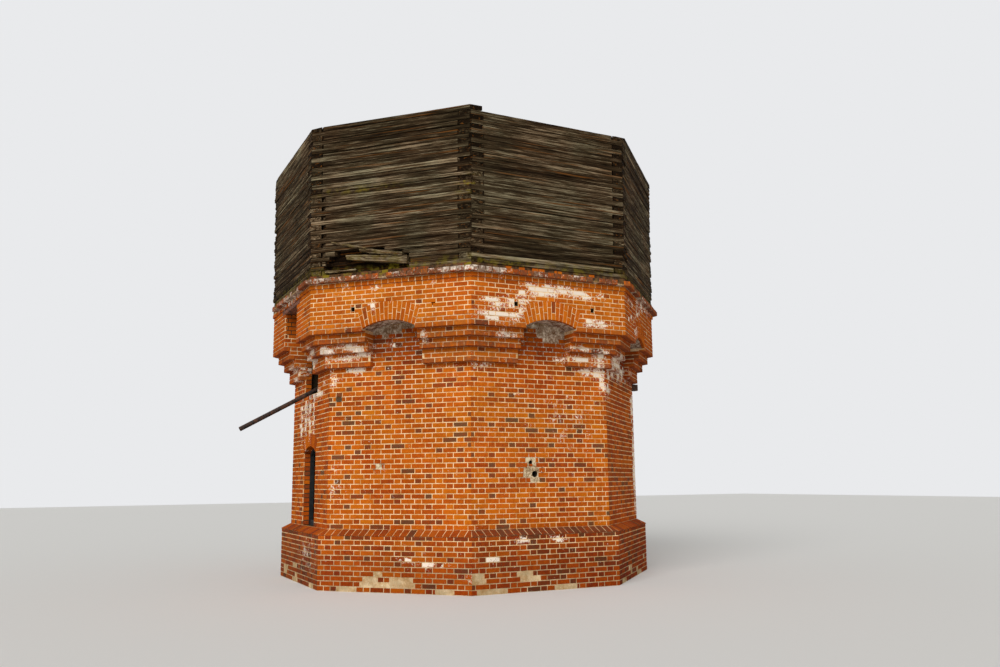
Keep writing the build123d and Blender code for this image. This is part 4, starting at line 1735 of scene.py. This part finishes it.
    def broken(self, timber: Timber, draw: random.Random) -> bpy.types.Mesh:
        """Makes one broken timber in the face's frame.

        Args:
            timber: Its place and size.
            draw: The wall's random draws.

        Returns:
            The timber's mesh, with its grain, tone and moss.
        """
        work = bmesh.new()
        bend(work, self.strips, 12)
        grain, tone, moss = self.wood_layers(work)
        start, end = Vector(timber.start), Vector(timber.end)
        shift = draw.uniform(0.0, 90.0)
        for vert in work.verts:
            part = vert.co.x + 0.5
            high = timber.height * (1.0 + part * (timber.taper - 1.0))
            along = start.lerp(end, part)
            at = Vector((part * 7.0, shift, vert.co.z * 2.0))
            ragged = Vector([self.splinter * noise.noise(at + Vector((0.0, 0.0, 31.7 * axis)))
                             for axis in range(3)])
            vert.co = along + Vector((0.0, vert.co.y * timber.width, vert.co.z * high)) + ragged
            vert[grain] = Vector((vert.co.x + shift, vert.co.y * 0.6, vert.co.z - along.z + shift))
        bmesh.ops.recalc_face_normals(work, faces=work.faces)
        for face in work.faces:
            for loop in face.loops:
                loop[tone], loop[moss] = 0.03, 0.15
        return mesh_from(work, "broken_timber")

    def moss(self, along: float, level: float) -> float:
        """How mossy the timber is: more at its foot and beside two of the corners.

        Args:
            along: Place along the face.
            level: Height of the place.

        Returns:
            From 0 to 1.
        """
        up = level - MASONRY_TOP
        low = max(0.0, 1.0 - up / 0.16) * 0.45
        if self.side is Side.SOUTHWEST:
            low += 1.3 * math.exp(-((along - 1.32) / 0.09) ** 2 - ((up - 1.23) / 0.12) ** 2)
            low += math.exp(-((along - 0.05) / 0.2) ** 2 - (up / 0.12) ** 2)
            low += 0.5 * math.exp(-((along + 0.6) / 0.6) ** 2 - ((up - 1.36) / 0.05) ** 2)
        return min(1.0, low)

    def build(self, material: bpy.types.Material) -> None:
        """Stacks the planks.

        Args:
            material: The timber's material.
        """
        draw = random.Random(self.side.value + 4)
        wall = bmesh.new()
        timbers = [self.plank(layer, draw) for layer in range(self.layers)]
        if self.side is Side.SOUTHWEST:
            timbers += [self.broken(timber, draw) for timber in BROKEN_TIMBERS]
        for data in timbers:
            wall.from_mesh(data)
            bpy.data.meshes.remove(data)
        bmesh.ops.transform(wall, matrix=self.side.local(), verts=wall.verts)
        make_piece(wall, f"{self.side.label}_crib_planks", material,
                   [f"{self.side.label}_crib_wall"])


@dataclass
class Deck:
    """Boards over the masonry, inside the crib."""

    board: float = 0.19
    thickness: float = 0.046
    apothem: float = CRIB_APOTHEM - PLANK_WIDTH - 0.008
    seed: int = 31

    def board_mesh(self, number: int, draw: random.Random) -> bpy.types.Mesh:
        """Makes one board, over the whole width of the deck.

        Args:
            number: Its number from the west side.
            draw: The deck's random draws.

        Returns:
            The board's mesh, with its grain, tone and moss.
        """
        work = bmesh.new()
        x = -self.apothem + (number + 0.5) * self.board
        high = self.thickness + draw.uniform(-0.004, 0.004)
        size = (self.board - draw.uniform(0.008, 0.016), 2 * self.apothem, high, 1.0)
        place = Matrix.Translation((x, 0.0, high / 2)) @ Matrix.Diagonal(size)
        bmesh.ops.create_cube(work, size=1.0, matrix=place)
        long_edges = [e for e in work.edges if abs(e.verts[0].co.y - e.verts[1].co.y) > 1.0]
        bmesh.ops.subdivide_edges(work, edges=long_edges, cuts=9, use_grid_fill=True)
        grain = work.verts.layers.float_vector.new("grain")
        tone = work.verts.layers.float.new("tone")
        moss = work.verts.layers.float.new("moss")
        shade, shift = draw.gauss(-0.03, 0.05), draw.uniform(0.0, 60.0)
        for vert in work.verts:
            if vert.co.z > 0.01:
                vert.co.z += 0.004 * noise.noise(Vector((vert.co.x * 3, vert.co.y * 2, number)))
            vert[grain] = Vector((vert.co.y + shift, vert.co.x * 0.8 + shift, vert.co.z))
            vert[tone] = shade
            vert[moss] = 0.15
        return mesh_from(work, "board")

    def build(self, material: bpy.types.Material) -> None:
        """Lays the boards from one side to the other and cuts them to the octagon.

        Args:
            material: The timber's material.
        """
        draw = random.Random(self.seed)
        deck = bmesh.new()
        for number in range(math.ceil(2 * self.apothem / self.board)):
            data = self.board_mesh(number, draw)
            deck.from_mesh(data)
            bpy.data.meshes.remove(data)
        for side in Side:
            outward = Vector((math.cos(math.radians(side.value)), math.sin(math.radians(side.value)), 0.0))
            cut = bmesh.ops.bisect_plane(deck, geom=[*deck.verts, *deck.edges, *deck.faces],
                                         plane_co=outward * self.apothem, plane_no=outward, clear_outer=True)
            rim = [e for e in cut["geom_cut"] if isinstance(e, bmesh.types.BMEdge)]
            bmesh.ops.holes_fill(deck, edges=rim, sides=0)
        bmesh.ops.recalc_face_normals(deck, faces=deck.faces)
        bmesh.ops.translate(deck, vec=AXIS + Vector((0.0, 0.0, MASONRY_TOP)), verts=deck.verts)
        make_piece(deck, "deck_boards", material, ["tank_deck"])


# Camera, lights and background


@dataclass
class Studio:
    """Camera, lamps, floor and background."""

    position: Triple = (-6.697, -15.093, 1.6526)  # from the tower's axis
    heading: float = 63.78
    pitch: float = 0.1666
    roll: float = -0.0098
    lens: float = 31.48
    sensor: float = 36.0
    floor_size: float = 60.0
    floor_colour: str = "ecebe8"
    sky_colour: str = "ececea"
    sky_strength: float = 0.38
    shown_colour: str = "e9eaec"

    def add_camera(self) -> None:
        """Puts the camera where the photograph was taken from."""
        ahead = Vector((math.cos(math.radians(self.heading)), math.sin(math.radians(self.heading)), 0.0))
        right = Vector((ahead.y, -ahead.x, 0.0))
        up = Vector((0.0, 0.0, 1.0))
        forward = ahead * math.cos(self.pitch) + up * math.sin(self.pitch)
        above = up * math.cos(self.pitch) - ahead * math.sin(self.pitch)
        turned_right = right * math.cos(self.roll) + above * math.sin(self.roll)
        turned_up = above * math.cos(self.roll) - right * math.sin(self.roll)
        data = bpy.data.cameras.new("camera")
        data.lens = self.lens
        data.sensor_width = self.sensor
        camera = add_object("camera", data)
        turn = Matrix((turned_right, turned_up, -forward)).transposed().to_4x4()
        camera.matrix_world = Matrix.Translation(AXIS + Vector(self.position)) @ turn
        bpy.context.scene.camera = camera

    def add_lamp(self, name: str, strength: float, softness: float, aim: Triple) -> None:
        """Adds a soft sun.

        Args:
            name: Name of the lamp.
            strength: Its strength.
            softness: Its angle in degrees.
            aim: Direction that it shines in.
        """
        data = bpy.data.lights.new(name, "SUN")
        data.energy = strength
        data.angle = math.radians(softness)
        lamp = add_object(name, data)
        lamp.rotation_euler = Vector(aim).to_track_quat("-Z", "Y").to_euler()

    def add_floor(self) -> None:
        """Adds the pale floor."""
        work = bmesh.new()
        bmesh.ops.create_grid(work, x_segments=1, y_segments=1, size=self.floor_size)
        data = mesh_from(work, "floor")
        data.materials.append(PlainFinish("floor_paint", self.floor_colour).build())
        floor = add_object("floor", data)

    def add_background(self) -> None:
        """Lights the scene evenly, and shows the camera and the reflections a pale background."""
        world = bpy.data.worlds.new("studio")
        world.use_nodes = True
        bpy.context.scene.world = world
        tree = world.node_tree
        tree.nodes.clear()
        path = tree.nodes.new("ShaderNodeLightPath")
        light = tree.nodes.new("ShaderNodeBackground")
        light.inputs["Color"].default_value = linear(self.sky_colour)
        light.inputs["Strength"].default_value = self.sky_strength
        shown = tree.nodes.new("ShaderNodeBackground")
        shown.inputs["Color"].default_value = linear(self.shown_colour)
        shown.inputs["Strength"].default_value = 1.0
        mix = tree.nodes.new("ShaderNodeMixShader")
        output = tree.nodes.new("ShaderNodeOutputWorld")
        shares = [path.outputs[f"Is {kind} Ray"] for kind in ("Camera", "Glossy", "Transmission")]
        for share in shares[1:]:
            either = tree.nodes.new("ShaderNodeMath")
            either.operation = "MAXIMUM"
            tree.links.new(shares[0], either.inputs[0])
            tree.links.new(share, either.inputs[1])
            shares[0] = either.outputs[0]
        tree.links.new(shares[0], mix.inputs["Fac"])
        tree.links.new(light.outputs[0], mix.inputs[1])
        tree.links.new(shown.outputs[0], mix.inputs[2])
        tree.links.new(mix.outputs[0], output.inputs["Surface"])

    def build(self) -> None:
        """Sets up the whole studio."""
        self.add_camera()
        self.add_lamp("key_lamp", strength=2.15, softness=45.0, aim=(0.57, 0.70, -0.6))
        self.add_floor()
        self.add_background()
        bpy.context.scene.view_settings.view_transform = "Standard"


def dress_nodes(nodes: dict[str, bpy.types.Object]) -> None:
    """Gives each node of the frame its finish, apart from those that pieces of timber replace.

    Args:
        nodes: The frame's nodes by their names.
    """
    mortar = MortarFinish("lime_mortar").build()
    rust = SpottedFinish("old_iron").build()
    finishes = {
        "opening_lintels": SpottedFinish("lintel_rust", dark="4e3228", spots="a05a34").build(),
        "west_window_frame": SpottedFinish("old_paint", dark="121517", spots="24292c").build(),
        "deck_beams": rust,
        "spout_pipe": rust,
        "iron_bar_end": rust,
    }
    for name, node in nodes.items():
        if name.endswith("_crib_wall") or name == "tank_deck":
            continue
        node.data.materials.clear()
        node.data.materials.append(finishes.get(name, mortar))


def main() -> None:
    """Builds the tower's looks in order."""
    logging.basicConfig(level=logging.INFO, format="%(name)s: %(message)s")
    shaft_brick = BrickFinish("shaft_brick", SHAFT_STOPS, cornice_shade=0.45).build()
    plinth_brick = BrickFinish("plinth_brick", PLINTH_STOPS).build()
    cornice_brick = BrickFinish("cornice_brick", CORNICE_STOPS).build()
    timber = TimberFinish("old_timber").build()
    dress_nodes(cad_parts)
    for side in Side:
        Plinth(side).build(plinth_brick)
        Shaft(side).build(shaft_brick)
        Cornice(side).build(cornice_brick)
        CribWall(side, layers=32 if side is Side.SOUTH else 33).build(timber)
    Deck().build(timber)
    Studio().build()


if __name__ == "__main__":
    main()
